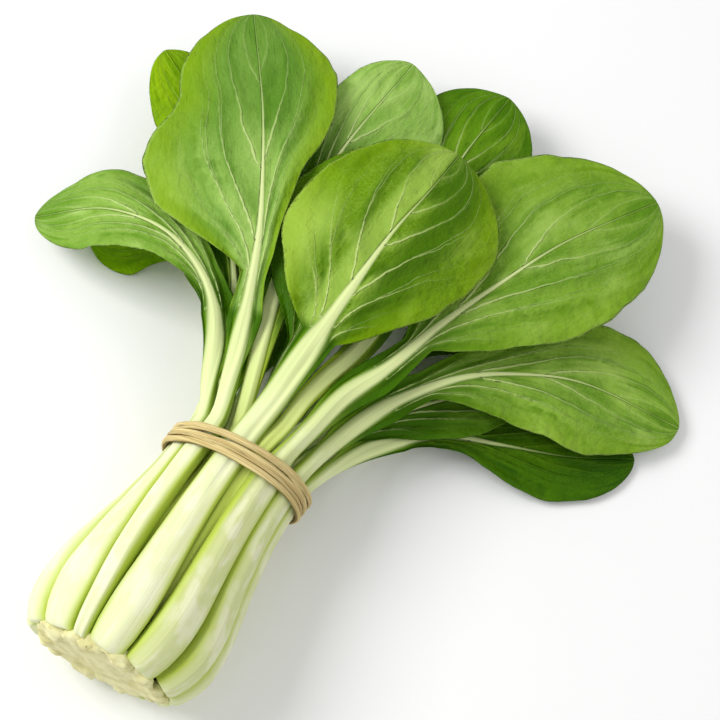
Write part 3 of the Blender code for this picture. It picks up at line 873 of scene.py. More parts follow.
def calc(tree, operation, a, b=0.0, c=0.0):
    """One sum of up to three numbers."""
    made = tree.nodes.new("ShaderNodeMath")
    made.operation = operation
    for socket, value in zip(made.inputs, (a, b, c)):
        feed(tree, socket, value)
    return made.outputs[0]


def step_between(tree, value, start, stop, low=0.0, high=1.0):
    """low below start, high above stop and a smooth change between."""
    made = tree.nodes.new("ShaderNodeMapRange")
    made.interpolation_type = "SMOOTHSTEP"
    for socket, given in zip(made.inputs, (value, start, stop, low, high)):
        feed(tree, socket, given)
    return made.outputs[0]


def mixed(tree, share, first, second):
    """The first colour at share 0 and the second at 1."""
    made = tree.nodes.new("ShaderNodeMix")
    made.data_type = "RGBA"
    feed(tree, made.inputs[0], share)
    feed(tree, made.inputs[6], first)
    feed(tree, made.inputs[7], second)
    return made.outputs[2]


# %% Markings and patterns
def marking(tree, name):
    """The three numbers that a mesh stores under a name, and all three as a vector."""
    read = tree.nodes.new("ShaderNodeAttribute")
    read.attribute_name = name
    parts = tree.nodes.new("ShaderNodeSeparateXYZ")
    tree.links.new(read.outputs["Vector"], parts.inputs[0])
    return (*parts.outputs, read.outputs["Vector"])


def stretched(tree, vector, scale):
    """A vector with each of its parts scaled."""
    made = tree.nodes.new("ShaderNodeMapping")
    feed(tree, made.inputs["Vector"], vector)
    made.inputs["Scale"].default_value = scale
    return made.outputs[0]


def speckle(tree, vector, scale, detail=2.0):
    """Soft noise from 0 to 1."""
    made = tree.nodes.new("ShaderNodeTexNoise")
    feed(tree, made.inputs["Vector"], vector)
    made.inputs["Scale"].default_value = scale
    made.inputs["Detail"].default_value = detail
    return made.outputs[0]


def cell_edges(tree, vector, scale):
    """Distance to the edge of the nearest cell, as in a net."""
    made = tree.nodes.new("ShaderNodeTexVoronoi")
    made.feature = "DISTANCE_TO_EDGE"
    feed(tree, made.inputs["Vector"], vector)
    made.inputs["Scale"].default_value = scale
    return made.outputs["Distance"]


def joined(tree, x, y, z=0.0):
    """Three numbers as one vector."""
    made = tree.nodes.new("ShaderNodeCombineXYZ")
    for socket, value in zip(made.inputs, (x, y, z)):
        feed(tree, socket, value)
    return made.outputs[0]


# %% Bumps, and a blank material
def raised(tree, height, depth, after=None):
    """A bump from a height of 0 to 1 and the depth of 1 in metres."""
    made = tree.nodes.new("ShaderNodeBump")
    made.inputs["Distance"].default_value = depth
    feed(tree, made.inputs["Height"], height)
    if after is not None:
        tree.links.new(after, made.inputs["Normal"])
    return made.outputs[0]


def blank(name):
    """A new material, its tree and its shader."""
    made = bpy.data.materials.new(name)
    made.use_nodes = True
    return made, made.node_tree, made.node_tree.nodes["Principled BSDF"]


# %% [markdown]
# ## The finish of a leaf
#
# A stalk is nearly white along its crown and yellow-green along its edges, and it turns greener
# towards the blade. The blade is a soft mottled green with a lighter margin. The midrib and the
# side veins stay pale, with a finer net between them. One recipe serves every leaf, and what
# differs from leaf to leaf is kept in tables. Its patterns read the markings in the mesh, so they
# follow each leaf however it bends.

# %% Colours of the stalk
STALK_CROWN = colour(228, 232, 184)
STALK_EDGE = colour(188, 206, 86)
STALK_TOP = colour(220, 231, 164)
STALK_TOP_EDGE = colour(92, 132, 10)
BLANCHED = colour(240, 240, 212)
HIDDEN_CROWN = colour(214, 228, 112)
HIDDEN_MIDDLE = colour(210, 224, 138)
HIDDEN_EDGE = colour(184, 204, 62)
# Colour of a stalk's crown under painted shade
PAINTED_SHADE_CROWN = colour(196, 206, 130)

# How far a stalk's crown is darkened by painted shade instead of pale: these stalks lie away from the light
PAINTED_CROWN_SHADE = {
    "outer_leaf_04": 0.55,
    "outer_leaf_05": 0.55,
    "outer_leaf_06": 0.35,
    "outer_leaf_07": 0.30,
}


def stalk_colour(tree, hidden, crown_shade):
    """Pale along the crown, with painted shade on some crowns, yellow-green along the edges, greener
    towards the blade.
    """
    _, _, _, grow = marking(tree, "grow")
    _, reach, stalk_share, _ = marking(tree, "tissue")
    rising = step_between(tree, stalk_share, 0.42, 0.95)

    # Outer stalks have pale blotches on their crown; inner ones are greener where they hide
    if hidden:
        low = mixed(tree, step_between(tree, stalk_share, 0.30, 0.62), HIDDEN_CROWN, HIDDEN_MIDDLE)
    else:
        blotches = speckle(tree, stretched(tree, grow, (0.16, 0.06, 1.0)), 1.0, 3.0)
        # Painted shade darkens the crowns of the stalks that lie away from the light
        low = mixed(tree, crown_shade, STALK_CROWN, PAINTED_SHADE_CROWN)
        low = mixed(tree, step_between(tree, blotches, 0.46, 0.62, 0.0, 0.6), low, BLANCHED)
    crown = mixed(tree, rising, low, STALK_TOP)
    edge = mixed(tree, rising, HIDDEN_EDGE if hidden else STALK_EDGE, STALK_TOP_EDGE)

    # The edge's colour comes in unevenly, and a little of it along the fibres
    fibres = speckle(tree, stretched(tree, grow, (1.3, 0.012, 3.0)), 1.0, 3.0)
    blush = speckle(tree, stretched(tree, grow, (0.10, 0.02, 1.0)), 1.0)
    edging = step_between(tree, reach, 0.34, 0.96)
    edging = calc(tree, "MULTIPLY", edging, calc(tree, "ADD", blush, 0.5))
    edging = calc(tree, "ADD", edging, step_between(tree, fibres, 0.45, 0.7, 0.0, 0.12))
    return mixed(tree, edging, crown, edge), fibres


# %% Veins as lines
VEIN_LEAST = 0.08             # half-width of a side vein at the margin, in mm
VEIN_WIDTH = 0.50             # how much more it has where it leaves the midrib
VEIN_WANDER = 0.22            # how far a vein strays, as part of the way to the next one
BRANCH_WIDTH = 0.7            # width of a branch, as part of its vein's width


def side_veins(tree, number, gap, fade):
    """How near a vein is, measured in its own half-widths, and that half-width."""
    width = calc(tree, "MULTIPLY_ADD", fade, VEIN_WIDTH, VEIN_LEAST)
    away = calc(tree, "MULTIPLY", calc(tree, "PINGPONG", number, 0.5), gap)
    return calc(tree, "DIVIDE", away, width), width


def branches(tree, number, gap, width, out):
    """Thin branches that leave the side veins on their way out, and fade towards the margin."""
    branch = calc(tree, "SUBTRACT", number, step_between(tree, out, 0.25, 0.85, 0.0, 0.5))
    away = calc(tree, "MULTIPLY", calc(tree, "PINGPONG", branch, 0.5), gap)
    near = calc(tree, "DIVIDE", away, calc(tree, "MULTIPLY", width, BRANCH_WIDTH))
    thin = step_between(tree, near, 0.4, 2.0, 1.0, 0.0)
    thin = calc(tree, "MULTIPLY", thin, step_between(tree, out, 0.2, 0.35))
    return calc(tree, "MULTIPLY", thin, step_between(tree, out, 0.5, 0.9, 0.32, 0.0))


def vein_lines(tree):
    """How much of a point is vein, how near one is, the fine net, and painted shade in the crumples between
    veins.
    """
    out, grown, _, _ = marking(tree, "lamina")
    number, gap, fade, _ = marking(tree, "veins")
    _, _, _, grow = marking(tree, "grow")
    wander = calc(tree, "SUBTRACT", speckle(tree, stretched(tree, grow, (0.12, 0.12, 1.0)), 1.0), 0.5)
    number = calc(tree, "MULTIPLY_ADD", wander, VEIN_WANDER, number)
    near, width = side_veins(tree, number, gap, fade)
    strong = step_between(tree, fade, 0.05, 0.85, 0.0, 0.85)
    strong = calc(tree, "MULTIPLY", strong, step_between(tree, grown, 0.50, 0.90, 1.0, 0.25))
    line = calc(tree, "MULTIPLY", step_between(tree, near, 0.4, 1.7, 1.0, 0.0), strong)
    glow = calc(tree, "MULTIPLY", step_between(tree, near, 1.0, 9.0, 1.0, 0.0), strong)
    line = calc(tree, "MAXIMUM", line, branches(tree, number, gap, width, out))
    line = calc(tree, "MULTIPLY", line, step_between(tree, grown, 0.0, 0.04))

    # The net and the painted shade of the crumples follow the veins, so they are drawn on the veins' own
    # numbers
    cells = joined(tree, calc(tree, "MULTIPLY", number, 2.2), calc(tree, "MULTIPLY", out, 6.0), wander)
    net = step_between(tree, cell_edges(tree, cells, 1.0), 0.0, 0.08, 1.0, 0.0)
    crumple_shade = speckle(tree, stretched(tree, joined(tree, number, out, wander), (1.3, 2.0, 1.0)), 1.0, 2.0)
    return line, glow, net, crumple_shade


# %% [markdown]
# The blades that show most aren't coloured alike. Two have painted light on their left parts, one of them
# also painted shade on its right half and the other a deeper tip, and some have a yellow-green rim, a
# shaded foot, or veins that hardly show. A material for each could be written
# out, but short tables beside one recipe are easier to read and to change.

# %% What sets a blade's colour apart
SHADED_GREEN = colour(62, 106, 4)
RIM_GREEN = colour(128, 164, 0)


class PaintedLightAndTones(NamedTuple):
    """Painted light on the left part, painted shade on the right half, and a deeper tip. Without values it
    changes nothing, as on most leaves.
    """

    # Painted light makes the left part lighter, and painted shade makes the right half deeper
    painted_light: float = 0.0              # how light the left part is
    painted_light_x: tuple = (-90, -99)     # x where it starts, and where it has its full lightness
    deep_tip: tuple = (2.0, 3.0)  # share of the length where a deeper tip starts and is full
    painted_shade_right: float = 0.0       # how deep the right half is


# Two blades get painted light on their left parts; the second also gets painted shade on its right half
PAINTED_LIGHT_AND_TONES = {
    "outer_leaf_02": PaintedLightAndTones(painted_light=0.25, painted_light_x=(-22, -40), deep_tip=(0.40, 0.75)),
    "outer_leaf_03": PaintedLightAndTones(painted_light=0.9, painted_light_x=(-14, -28), painted_shade_right=0.85),
}

# How much of the rim's colour a blade has
RIMS = {
    "outer_leaf_02": 0.75,
    "outer_leaf_03": 0.50,
    "outer_leaf_04": 0.35,
    "outer_leaf_05": 0.35,
}

# Share of the blade where the shade at its foot starts to give way, and where it is gone
SHADED_FEET = {
    "outer_leaf_01": (0.06, 0.30),
    "outer_leaf_04": (0.02, 0.42),
    "outer_leaf_05": (0.02, 0.50),
}
INNER_FOOT = (0.30, 0.70)
USUAL_FOOT = (0.0, 0.05)

# How pale the veins are: 0 is the blade's lighter green and 1 the stalk's colour
VEIN_PALENESS = {
    "outer_leaf_06": 0.0,
    "outer_leaf_11": 0.2,
    "inner_leaf_01": 0.2,
    "inner_leaf_03": 0.25,
}
USUAL_PALENESS = 0.5


# %% The green of a blade
def mottled(tree, grow, greens):
    """Soft patches of the three greens, with a fine grain, and the two patterns behind them."""
    green, light, deep = greens
    patches = speckle(tree, stretched(tree, grow, (0.045, 0.028, 2.0)), 1.0, 2.0)
    blade = mixed(tree, step_between(tree, patches, 0.24, 0.60), deep, green)
    tinted = speckle(tree, stretched(tree, grow, (0.07, 0.03, 5.0)), 1.3, 3.0)
    blade = mixed(tree, step_between(tree, tinted, 0.46, 0.76, 0.0, 0.6), blade, light)
    grain = speckle(tree, grow, 1.1, 4.0)
    blade = mixed(tree, step_between(tree, grain, 0.35, 0.75, 0.0, 0.22), blade, light)
    return blade, patches, tinted


def painted_light_shade_and_tip(tree, blade, x, grown, greens, light_and_tones):
    """Painted light on the left part and on a band beside the midrib, a deeper tip, and painted shade on
    the right half.
    """
    _, light, deep = greens
    start, full = light_and_tones.painted_light_x
    # Painted light: the left part and a band beside the midrib turn to the lighter green
    low_left = step_between(tree, x, full, start, light_and_tones.painted_light, 0.0)
    low_left = calc(tree, "MULTIPLY", low_left, step_between(tree, grown, 0.35, 0.60, 1.0, 0.0))
    beside = step_between(tree, x, -12, -7, 0.0, light_and_tones.painted_light)
    beside = calc(tree, "MINIMUM", beside, step_between(tree, x, -2, 0, 1.0, 0.0))
    painted_light = calc(tree, "MAXIMUM", low_left, calc(tree, "MULTIPLY", beside, 0.6))
    blade = mixed(tree, painted_light, blade, light)
    blade = mixed(tree, step_between(tree, grown, *light_and_tones.deep_tip, 0.0, 0.7), blade, deep)
    # Painted shade: the right half turns to the deeper green
    right = calc(tree, "MINIMUM", step_between(tree, x, 2, 10), step_between(tree, x, 16, 30, 1.0, 0.0))
    return mixed(tree, calc(tree, "MULTIPLY", right, light_and_tones.painted_shade_right), blade, deep)


def edged(tree, blade, out, grown, tinted, light, rim_share, foot):
    """A yellow-green rim, a thin lighter line along the margin and a shaded foot."""
    rim = step_between(tree, out, 0.40, 0.92)
    rim = calc(tree, "MULTIPLY", rim, step_between(tree, tinted, 0.3, 0.6, 0.6, 1.0))
    blade = mixed(tree, calc(tree, "MULTIPLY", rim, rim_share), blade, RIM_GREEN)
    blade = mixed(tree, step_between(tree, out, 0.96, 1.0, 0.0, 0.5), blade, light)
    return mixed(tree, step_between(tree, grown, *foot), SHADED_GREEN, blade)


# %% The midrib and the relief
def midribbed(tree, blade, x, grown, rib, stalk, pale):
    """The midrib runs out of the stalk and fades towards the tip. Also tells what is off it."""
    middle = calc(tree, "DIVIDE", calc(tree, "ABSOLUTE", x), calc(tree, "ADD", rib, 0.2))
    middle = step_between(tree, middle, 0.45, 1.10, 1.0, 0.0)
    shown = calc(tree, "MULTIPLY", middle, step_between(tree, grown, 0.4, 0.95, 1.0, 0.1))
    midrib = mixed(tree, step_between(tree, grown, 0.1, 0.9), stalk, pale)
    return mixed(tree, shown, blade, midrib), calc(tree, "SUBTRACT", 1.0, middle)


def leaf_relief(tree, grow, line, net, fibres, on_blade):
    """Raised veins and net on the blade, fibres all over and soft quilting between the veins."""
    relief = raised(tree, calc(tree, "MULTIPLY", line, on_blade), 0.0005)
    relief = raised(tree, calc(tree, "MULTIPLY", net, on_blade), 0.00006, relief)
    relief = raised(tree, fibres, 0.00020, relief)
    quilt = speckle(tree, stretched(tree, grow, (0.22, 0.16, 1.0)), 1.0, 2.0)
    return raised(tree, calc(tree, "MULTIPLY", quilt, on_blade), 0.0015, relief)


# %% Leaf recipe
def leaf_finish(name, greens, hidden):
    """A leaf's material, from its main green, its lighter one and its deeper one."""
    made, tree, shader = blank(name + "_finish")
    x, _, _, grow = marking(tree, "grow")
    leafy, _, _, _ = marking(tree, "tissue")
    out, grown, rib, _ = marking(tree, "lamina")
    _, light, deep = greens
    stalk, fibres = stalk_colour(tree, hidden, PAINTED_CROWN_SHADE.get(name, 0.0))
    line, glow, net, crumple_shade = vein_lines(tree)

    blade, patches, tinted = mottled(tree, grow, greens)
    blade = mixed(tree, calc(tree, "MULTIPLY", glow, 0.55), blade, light)
    blade = mixed(tree, calc(tree, "MULTIPLY", net, 0.10), blade, light)
    # Painted shade: patches of deeper green between the veins stand for the shade in the blade's crumples
    blade = mixed(tree, step_between(tree, crumple_shade, 0.48, 0.66, 0.0, 0.8), blade, deep)
    # Painted light and painted shade on the two blades in the table, and a deeper tip
    blade = painted_light_shade_and_tip(tree, blade, x, grown, greens, PAINTED_LIGHT_AND_TONES.get(name, PaintedLightAndTones()))
    foot = INNER_FOOT if hidden else SHADED_FEET.get(name, USUAL_FOOT)
    blade = edged(tree, blade, out, grown, tinted, light, RIMS.get(name, 0.0), foot)
    pale = mixed(tree, VEIN_PALENESS.get(name, USUAL_PALENESS), light, STALK_TOP)
    blade = mixed(tree, line, blade, pale)
    blade, off_rib = midribbed(tree, blade, x, grown, rib, stalk, pale)
    winged = step_between(tree, leafy, 0.30, 0.85)
    feed(tree, shader.inputs["Base Color"], mixed(tree, winged, stalk, blade))

    feed(tree, shader.inputs["Roughness"], step_between(tree, patches, 0.3, 0.7, 0.46, 0.58))
    shader.inputs["Specular IOR Level"].default_value = 0.07
    on_blade = calc(tree, "MULTIPLY", winged, off_rib)
    feed(tree, shader.inputs["Normal"], leaf_relief(tree, grow, line, net, fibres, on_blade))
    return made


# %% Every leaf, with its own greens
FOOT_ROWS = 8
STALK_ROW = 4.0               # usual distance between rows on the stalk
BLADE_ROW = 1.1               # and on the blade
TIP_GAP = 0.05                # distance from the tip at which the last row lies

# Main green, lighter green and deeper green of a blade
GREENS = {
    "outer_leaf_01": ((124, 162, 56), (168, 202, 108), (92, 138, 22)),
    "outer_leaf_02": ((130, 170, 72), (172, 204, 110), (84, 130, 32)),
    "outer_leaf_03": ((94, 136, 0), (166, 198, 86), (64, 104, 0)),
    "outer_leaf_04": ((120, 160, 46), (162, 194, 94), (88, 134, 20)),
    "outer_leaf_05": ((130, 170, 54), (168, 200, 96), (86, 132, 20)),
    # outer_leaf_06 is deep green: partly its own colour and partly painted shade, as it lies under the leaf
    # beside it
    "outer_leaf_06": ((58, 100, 0), (90, 132, 14), (36, 78, 0)),
    "outer_leaf_11": ((138, 188, 6), (160, 206, 30), (114, 164, 0)),
    "outer_leaf_12": ((84, 132, 2), (110, 152, 20), (58, 106, 0)),
    "inner_leaf_01": ((128, 168, 0), (152, 188, 14), (106, 150, 0)),
    "inner_leaf_02": ((148, 186, 86), (172, 204, 112), (120, 164, 60)),
    "inner_leaf_03": ((96, 142, 4), (132, 172, 30), (70, 118, 0)),
    "inner_leaf_04": ((84, 130, 6), (116, 156, 32), (62, 106, 0)),
}
USUAL_GREENS = ((72, 114, 8), (108, 148, 36), (48, 90, 0))


def row_places(spine, leaf):
    """Distances along the leaf where the grid's rows lie: close at both ends and on the blade."""
    foot = [ROUND_END * (i / FOOT_ROWS) ** 2 for i in range(FOOT_ROWS)]
    stalk_length = spine.neck - ROUND_END
    stalk_rows = max(4, round(stalk_length / STALK_ROW))
    stalk = [ROUND_END + stalk_length * i / stalk_rows for i in range(stalk_rows)]
    blade_rows = max(12, round(leaf.blade / BLADE_ROW))
    blade = [spine.neck + leaf.blade * math.sin(math.pi / 2 * i / blade_rows) for i in range(blade_rows)]
    return foot + stalk + blade + [spine.length - TIP_GAP]


for name, leaf in LEAVES.items():
    sections = [leaf_section(name, s) for s in row_places(SPINES[name], leaf)]
    piece = skin(name.replace("leaf", "leaf_grown"), sections, MARKINGS)
    greens = [colour(*c) for c in GREENS.get(name, USUAL_GREENS)]
    inner = leaf.ring is not OUTER_RING
    dress(piece, name, leaf_finish(name, greens, inner))
    print(piece.name, len(piece.data.polygons), "faces")

# %% [markdown]
# ## The cut root base
#
# The root end is a rough cream plate: the root is cut off, and broken leaf bases leave stubs and
# hollows. The plate is a grid laid on rings, pushed in and out with noise, and each stub is a small
# lumpy ball half sunk into its rim.

# %% The rough plate
PLATE_AROUND = 120            # points round the plate
FACE_RINGS = 16               # rings on the cut face
FACE_DISH = 0.4               # how far the middle of the cut face stands out
RIM_ROUGH = (7.0, 1.6)        # size and depth of the lumps on the rim
FACE_ROUGH = (9.0, 2.8)       # size and depth of the hollows in the cut face


def rough(place, size, depth):
    """How far a place is pushed out, or in below 0: noise of a given size and depth."""
    return depth * (noise.noise(place / size) + 0.25 * noise.noise(place / size * 2.7))


def plate_rings():
    """Rings over the cut face, round the rim and up the hidden core."""
    face = [(PLATE_RADIUS - 2.5) * i / FACE_RINGS for i in range(1, FACE_RINGS + 1)]
    rim = [(PLATE_RADIUS - 1.0, -PLATE_DEPTH + 0.3), *PLATE_PROFILE[1:]]
    profile = [(r, -PLATE_DEPTH + FACE_DISH * (r / PLATE_RADIUS) ** 2) for r in face] + rim
    rings = []
    for radius, y in profile:
        ring = []
        at_rim = smoothstep(CORE_RADIUS + 2, PLATE_RADIUS, radius)
        on_face = 1 - smoothstep(-2.4, 0.0, y)
        for i in range(PLATE_AROUND + 1):
            turn = 2 * math.pi * (i % PLATE_AROUND) / PLATE_AROUND
            place = plate_point(radius, y, turn)
            outwards = (place - axis_point(y)).normalized()
            place += outwards * at_rim * rough(place, *RIM_ROUGH)
            place.y += max(0.0, rough(place, *FACE_ROUGH)) * on_face
            ring.append((in_frame(place), {"grow": tuple(place)}))
        rings.append(ring)
    return rings


# %% Colours of the cut root
CUT_PALE = colour(232, 228, 176)
CUT_DEEP = colour(212, 206, 146)
PORE = colour(96, 84, 40)


def root_finish():
    """Matt cream with soft stains and a few dark pores."""
    made, tree, shader = blank("root_finish")
    _, _, _, grow = marking(tree, "grow")
    stains = speckle(tree, grow, 0.20, 4.0)
    pores = speckle(tree, grow, 0.20, 2.0)
    body = mixed(tree, step_between(tree, stains, 0.38, 0.66), CUT_PALE, CUT_DEEP)
    body = mixed(tree, step_between(tree, pores, 0.72, 0.76, 0.0, 0.7), body, PORE)
    feed(tree, shader.inputs["Base Color"], body)
    shader.inputs["Roughness"].default_value = 0.75
    shader.inputs["Specular IOR Level"].default_value = 0.2
    feed(tree, shader.inputs["Normal"], raised(tree, stains, 0.0004))
    return made


root_skin = root_finish()
root_piece = skin("root_plate", plate_rings(), ("grow",))
dress(root_piece, "root_base", root_skin)
print(root_piece.name, len(root_piece.data.polygons), "faces")

# %% [markdown]
# Broken bases of older leaves stay on the rim between the stalk ends. Each is a lump of a few
# millimetres: a ball that is pushed in and out with noise and is half sunk into the plate.

# %% Stubs on the rim
STUB_TURNS = (170, 150, 121, 109, 104, 80, 75, 53, 47, 20, 8, -20, -60, -100, -140, 200)
STUB_RADIUS = 3.9
STUB_VARIES = 1.8             # how far the radius varies
STUB_LUMPS = 0.4              # height of a stub's lumps, as part of its radius
STUB_SHAPE = Vector((1.25, 0.8, 1.0))


def stub_point(i, centre, radius, corner):
    """A corner of a ball of radius 1, as a point of stub i."""
    lumps = noise.fractal(corner * 0.8 + Vector((i * 5.0, 0, 0)), 1.1, 2.1, 3)
    return centre + corner * STUB_SHAPE * radius * (1 + STUB_LUMPS * lumps)


def stubs_mesh():
    """All stubs in one mesh."""
    bm = bmesh.new()
    marks = bm.verts.layers.float_vector.new("grow")
    for i, degrees in enumerate(STUB_TURNS):
        radius = STUB_RADIUS + STUB_VARIES * noise.noise(Vector((i * 1.7, 2.2, 0)))
        centre = plate_point(PLATE_RADIUS - 1.2, -1.6, math.radians(degrees))
        for vert in bmesh.ops.create_icosphere(bm, subdivisions=4, radius=1)["verts"]:
            place = stub_point(i, centre, radius, vert.co)
            vert.co = in_frame(place)
            vert[marks] = tuple(place)
    bmesh.ops.recalc_face_normals(bm, faces=bm.faces)
    mesh = bpy.data.meshes.new("root_stubs")
    bm.to_mesh(mesh)
    bm.free()
    mesh.shade_smooth()
    return mesh


stubs = bpy.data.objects.new("root_stubs", stubs_mesh())
bpy.context.scene.collection.objects.link(stubs)
dress(stubs, "root_base", root_skin)
print(stubs.name, len(stubs.data.polygons), "faces")

# %% [markdown]
# ## The raffia tie
#
# The head is bound with three turns of raffia: a flat leaf fibre that is twisted into a cord, so
# its section is uneven and turns along its length. It is a skin over small lobed rings that follow
# the same winding as the CAD cord.

# %% The winding
CORD_RADIUS = 1.4
CORD_TURNS = 3
CORD_PITCH = 3.4
CORD_Y = 85.6                 # middle of the winding along the head
CORD_GAP = 1.0                # between the stalks and the cord
CORD_START = math.radians(-60)
TIE_LEAN = 4.0                # how far along the head the tie's right side leans


def winding(turn, lift=0.0, along=0.0):
    """A point of the winding, lifted off it or moved along the head."""
    angle = turn + CORD_START
    y = CORD_Y + CORD_PITCH * (turn / (2 * math.pi) - CORD_TURNS / 2) + TIE_LEAN * math.cos(angle)
    radius = ring_radius(OUTER_RING, y) + OUTER_THICK[1] * OUTER_SHARE + CORD_RADIUS + CORD_GAP + lift
    middle = axis_point(TIE_Y)
    return Vector((middle.x + radius * math.cos(angle), y + along, middle.z + radius * math.sin(angle)))


# %% A piece of cord
class Cord(NamedTuple):
    """A piece of the winding, with its turns counted from the winding's start."""

    first: float              # turn where it starts
    last: float               # turn where it ends
    wide: float               # half-width
    high: float               # half-height
    twist: float              # how fast it turns about itself
    seed: float               # a number of its own for the noise
    lift: float = 0.0         # how far it lies off the winding
    sway: float = 0.0         # how far it strays along the head
    climb: float = 0.0        # how far it moves along the head from end to end
    along: float = 0.0        # how far along the head it starts


# %% Rings of a twisted cord
CORD_STEPS = 140              # rings in a turn
CORD_AROUND = 20              # points in a ring
CORD_LENGTH = 26.0            # length along the cord, in mm, that a pattern counts for one radian
LOBES = ((3, 0.10, 0), (7, 0.06, 1))  # how many, how high as part of the size, and where they start
LUMPS = 0.16                  # height of the cord's uneven lumps, as part of its size


def cord_frame(cord, turn, drift):
    """A point in the middle of the cord, the direction beside it and the one outwards."""
    middle = winding(turn, cord.lift, drift)
    ahead = (winding(turn + 0.02, cord.lift, drift) - middle).normalized()
    outward = Vector((math.cos(turn + CORD_START), 0, math.sin(turn + CORD_START)))
    outward = (outward - ahead * outward.dot(ahead)).normalized()
    return middle, ahead.cross(outward), outward


def lobed(cord, turn, angle, spin):
    """Size of the section at an angle: three lobes, seven small ones and uneven lumps."""
    size = 1 + sum(high * math.sin(many * (angle + spin) + start) for many, high, start in LOBES)
    around = Vector((turn * 4, math.cos(angle) * 1.3, math.sin(angle) * 1.3 + cord.seed))
    return size + LUMPS * noise.noise(around)


def cord_rings(cord):
    """Lobed rings along the winding, smaller at both ends."""
    rings = []
    steps = round((cord.last - cord.first) * CORD_STEPS)
    for i in range(steps + 1):
        turn = 2 * math.pi * (cord.first + (cord.last - cord.first) * i / steps)
        sway = cord.sway * noise.noise(Vector((turn * 1.1, cord.seed, 0)))
        middle, beside, outward = cord_frame(cord, turn, cord.along + sway + cord.climb * i / steps)
        end = min(1.0, 0.15 + 12 * min(i, steps - i) / steps)
        spin = cord.twist * turn + 1.2 * noise.noise(Vector((turn * 0.9, cord.seed + 4, 1)))
        ring = []
        for j in range(CORD_AROUND + 1):
            angle = 2 * math.pi * (j % CORD_AROUND) / CORD_AROUND
            size = lobed(cord, turn, angle, spin) * end
            place = middle + beside * (cord.wide * size * math.cos(angle))
            place += outward * (cord.high * size * math.sin(angle))
            marks = (turn * CORD_LENGTH, 4 * (angle + spin), math.sin(angle))
            ring.append((in_frame(place), {"grow": marks}))
        rings.append(ring)
    return rings


# %% Raffia's colours
RAFFIA_DEEP = colour(192, 168, 106)
RAFFIA_PALE = colour(236, 218, 156)
RAFFIA_STAIN = colour(204, 172, 114)
# Painted shade for the sides of the cord that face the next turn
RAFFIA_SIDE_SHADE = colour(104, 78, 34)


def raffia_finish():
    """Dry straw-coloured strands, with painted shade on the sides that face the next turn."""
    made, tree, shader = blank("raffia_finish")
    _, _, facing, grow = marking(tree, "grow")
    strands = speckle(tree, stretched(tree, grow, (0.04, 0.9, 0.0)), 1.0, 4.0)
    stains = speckle(tree, stretched(tree, grow, (0.08, 0.2, 0.0)), 1.0, 3.0)
    body = mixed(tree, step_between(tree, strands, 0.36, 0.64), RAFFIA_DEEP, RAFFIA_PALE)
    body = mixed(tree, step_between(tree, stains, 0.45, 0.75, 0.0, 0.5), body, RAFFIA_STAIN)
    # Painted shade on the cord's sides and on its inner side, against the next turn and the stalks
    body = mixed(tree, step_between(tree, facing, -0.2, 0.65, 0.8, 0.0), body, RAFFIA_SIDE_SHADE)
    feed(tree, shader.inputs["Base Color"], body)
    shader.inputs["Roughness"].default_value = 0.7
    shader.inputs["Specular IOR Level"].default_value = 0.25
    feed(tree, shader.inputs["Normal"], raised(tree, strands, 0.0004))
    return made


# %% The cord and its loose fibres
raffia = raffia_finish()
cord = Cord(0, CORD_TURNS, wide=1.3, high=1.1, twist=0.7, seed=3.0, lift=-0.7, sway=0.8)
tie = skin("raffia_cord", cord_rings(cord), ("grow",))
dress(tie, "raffia_tie", raffia)
print(tie.name, len(tie.data.polygons), "faces")

# Each loose fibre: first and last turn, half-width, where it starts and how far it climbs in mm
FIBRES = (
    (0.20, 0.44, 0.60, 0.4, 2.6),
    (0.48, 0.66, 0.50, 0.6, 2.4),
    (1.24, 1.38, 0.65, 0.2, 3.0),
    (1.40, 1.66, 0.55, 3.0, -2.6),
    (2.18, 2.62, 0.50, -1.6, 0.6),
    (0.24, 0.64, 0.50, 1.5, 0.4),
)
for i, (first, last, wide, start, climb) in enumerate(FIBRES):
    thread = Cord(
        first, last, wide, high=0.5, twist=2.0, seed=11.0 + i, lift=0.1, sway=0.5, climb=climb, along=start
    )
    fibre = skin(f"raffia_fibre_{i + 1}", cord_rings(thread), ("grow",))
    dress(fibre, "raffia_tie", raffia)
print(len(FIBRES), "loose fibres")

# %% [markdown]
# ## Floor, light and camera
#
# The head lies on a plain pale floor under soft studio light, and the camera looks down on it from
# beyond the root end. It is rolled, so that the head points up and to the right.

# %% Floor
FLOOR_HALF = 4.0              # in metres
FLOOR_DROP = 0.0002           # keeps the floor just under the lowest leaf
FLOOR_WHITE = (0.95, 0.95, 0.95, 1)
floor_bm = bmesh.new()
bmesh.ops.create_grid(floor_bm, x_segments=1, y_segments=1, size=FLOOR_HALF)
bmesh.ops.translate(floor_bm, verts=floor_bm.verts, vec=(0, 0, cad_low.z - FLOOR_DROP))
floor_mesh = bpy.data.meshes.new("floor")
floor_bm.to_mesh(floor_mesh)
floor_bm.free()
floor = bpy.data.objects.new("floor", floor_mesh)
bpy.context.scene.collection.objects.link(floor)
paper, _, paper_shader = blank("floor_paper")
paper_shader.inputs["Base Color"].default_value = FLOOR_WHITE
paper_shader.inputs["Roughness"].default_value = 0.9
floor_mesh.materials.append(paper)

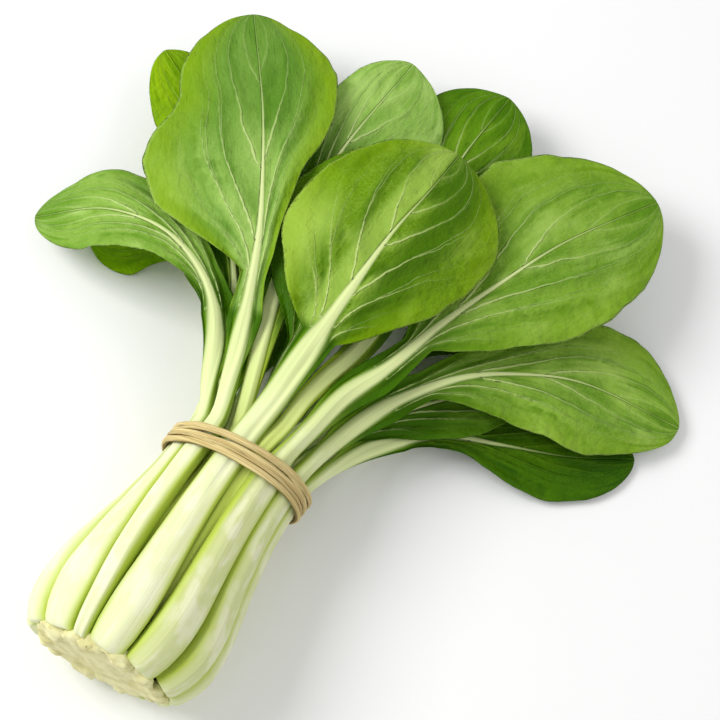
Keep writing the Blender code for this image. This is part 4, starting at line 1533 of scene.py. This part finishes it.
# %% Camera
LOOK_DOWN = math.radians(22)  # how far the camera leans from straight down
ROLL = math.radians(36)
CAMERA_PLACE = Vector((10.707, -139.142, 754.928))  # in the head's millimetres
LENS = 100
camera_back = Vector((0, -math.sin(LOOK_DOWN), math.cos(LOOK_DOWN)))
camera_along = Vector((0, math.cos(LOOK_DOWN), math.sin(LOOK_DOWN)))
sideways = Vector((1, 0, 0))
camera_right = sideways * math.cos(ROLL) + camera_along * math.sin(ROLL)
camera_up = camera_along * math.cos(ROLL) - sideways * math.sin(ROLL)
camera_data = bpy.data.cameras.new("camera")
camera_data.lens = LENS
camera_data.sensor_width = 36
camera = bpy.data.objects.new("camera", camera_data)
bpy.context.scene.collection.objects.link(camera)
turned = Matrix((camera_right, camera_up, camera_back)).transposed().to_4x4()
camera.matrix_world = Matrix.Translation(in_frame(CAMERA_PLACE)) @ turned
bpy.context.scene.camera = camera
print("camera at", in_frame(CAMERA_PLACE))

# %% Soft studio light
KEY_POWER = 9.0
FILL_POWER = 3.0
SKY_STRENGTH = 0.56
middle_of_head = (cad_low + cad_high) / 2


def soft_light(name, toward, distance, size, power):
    """A square soft box that looks at the head."""
    data = bpy.data.lights.new(name, "AREA")
    data.size = size
    data.energy = power
    lamp = bpy.data.objects.new(name, data)
    bpy.context.scene.collection.objects.link(lamp)
    direction = toward.normalized()
    place = Matrix.Translation(middle_of_head + direction * distance)
    lamp.matrix_world = place @ direction.to_track_quat("Z", "Y").to_matrix().to_4x4()
    return lamp


soft_light("key", camera_back + camera_up * 0.55 - camera_right * 0.75, 1.1, 0.5, KEY_POWER)
soft_light("fill", camera_back + camera_right * 1.2 + camera_up * 0.2, 1.4, 1.2, FILL_POWER)
world = bpy.data.worlds.new("studio")
world.use_nodes = True
sky = world.node_tree.nodes["Background"].inputs
sky["Color"].default_value = (1, 1, 1, 1)
sky["Strength"].default_value = SKY_STRENGTH
bpy.context.scene.world = world
bpy.context.scene.view_settings.view_transform = "Standard"
print("two soft boxes and an even sky")
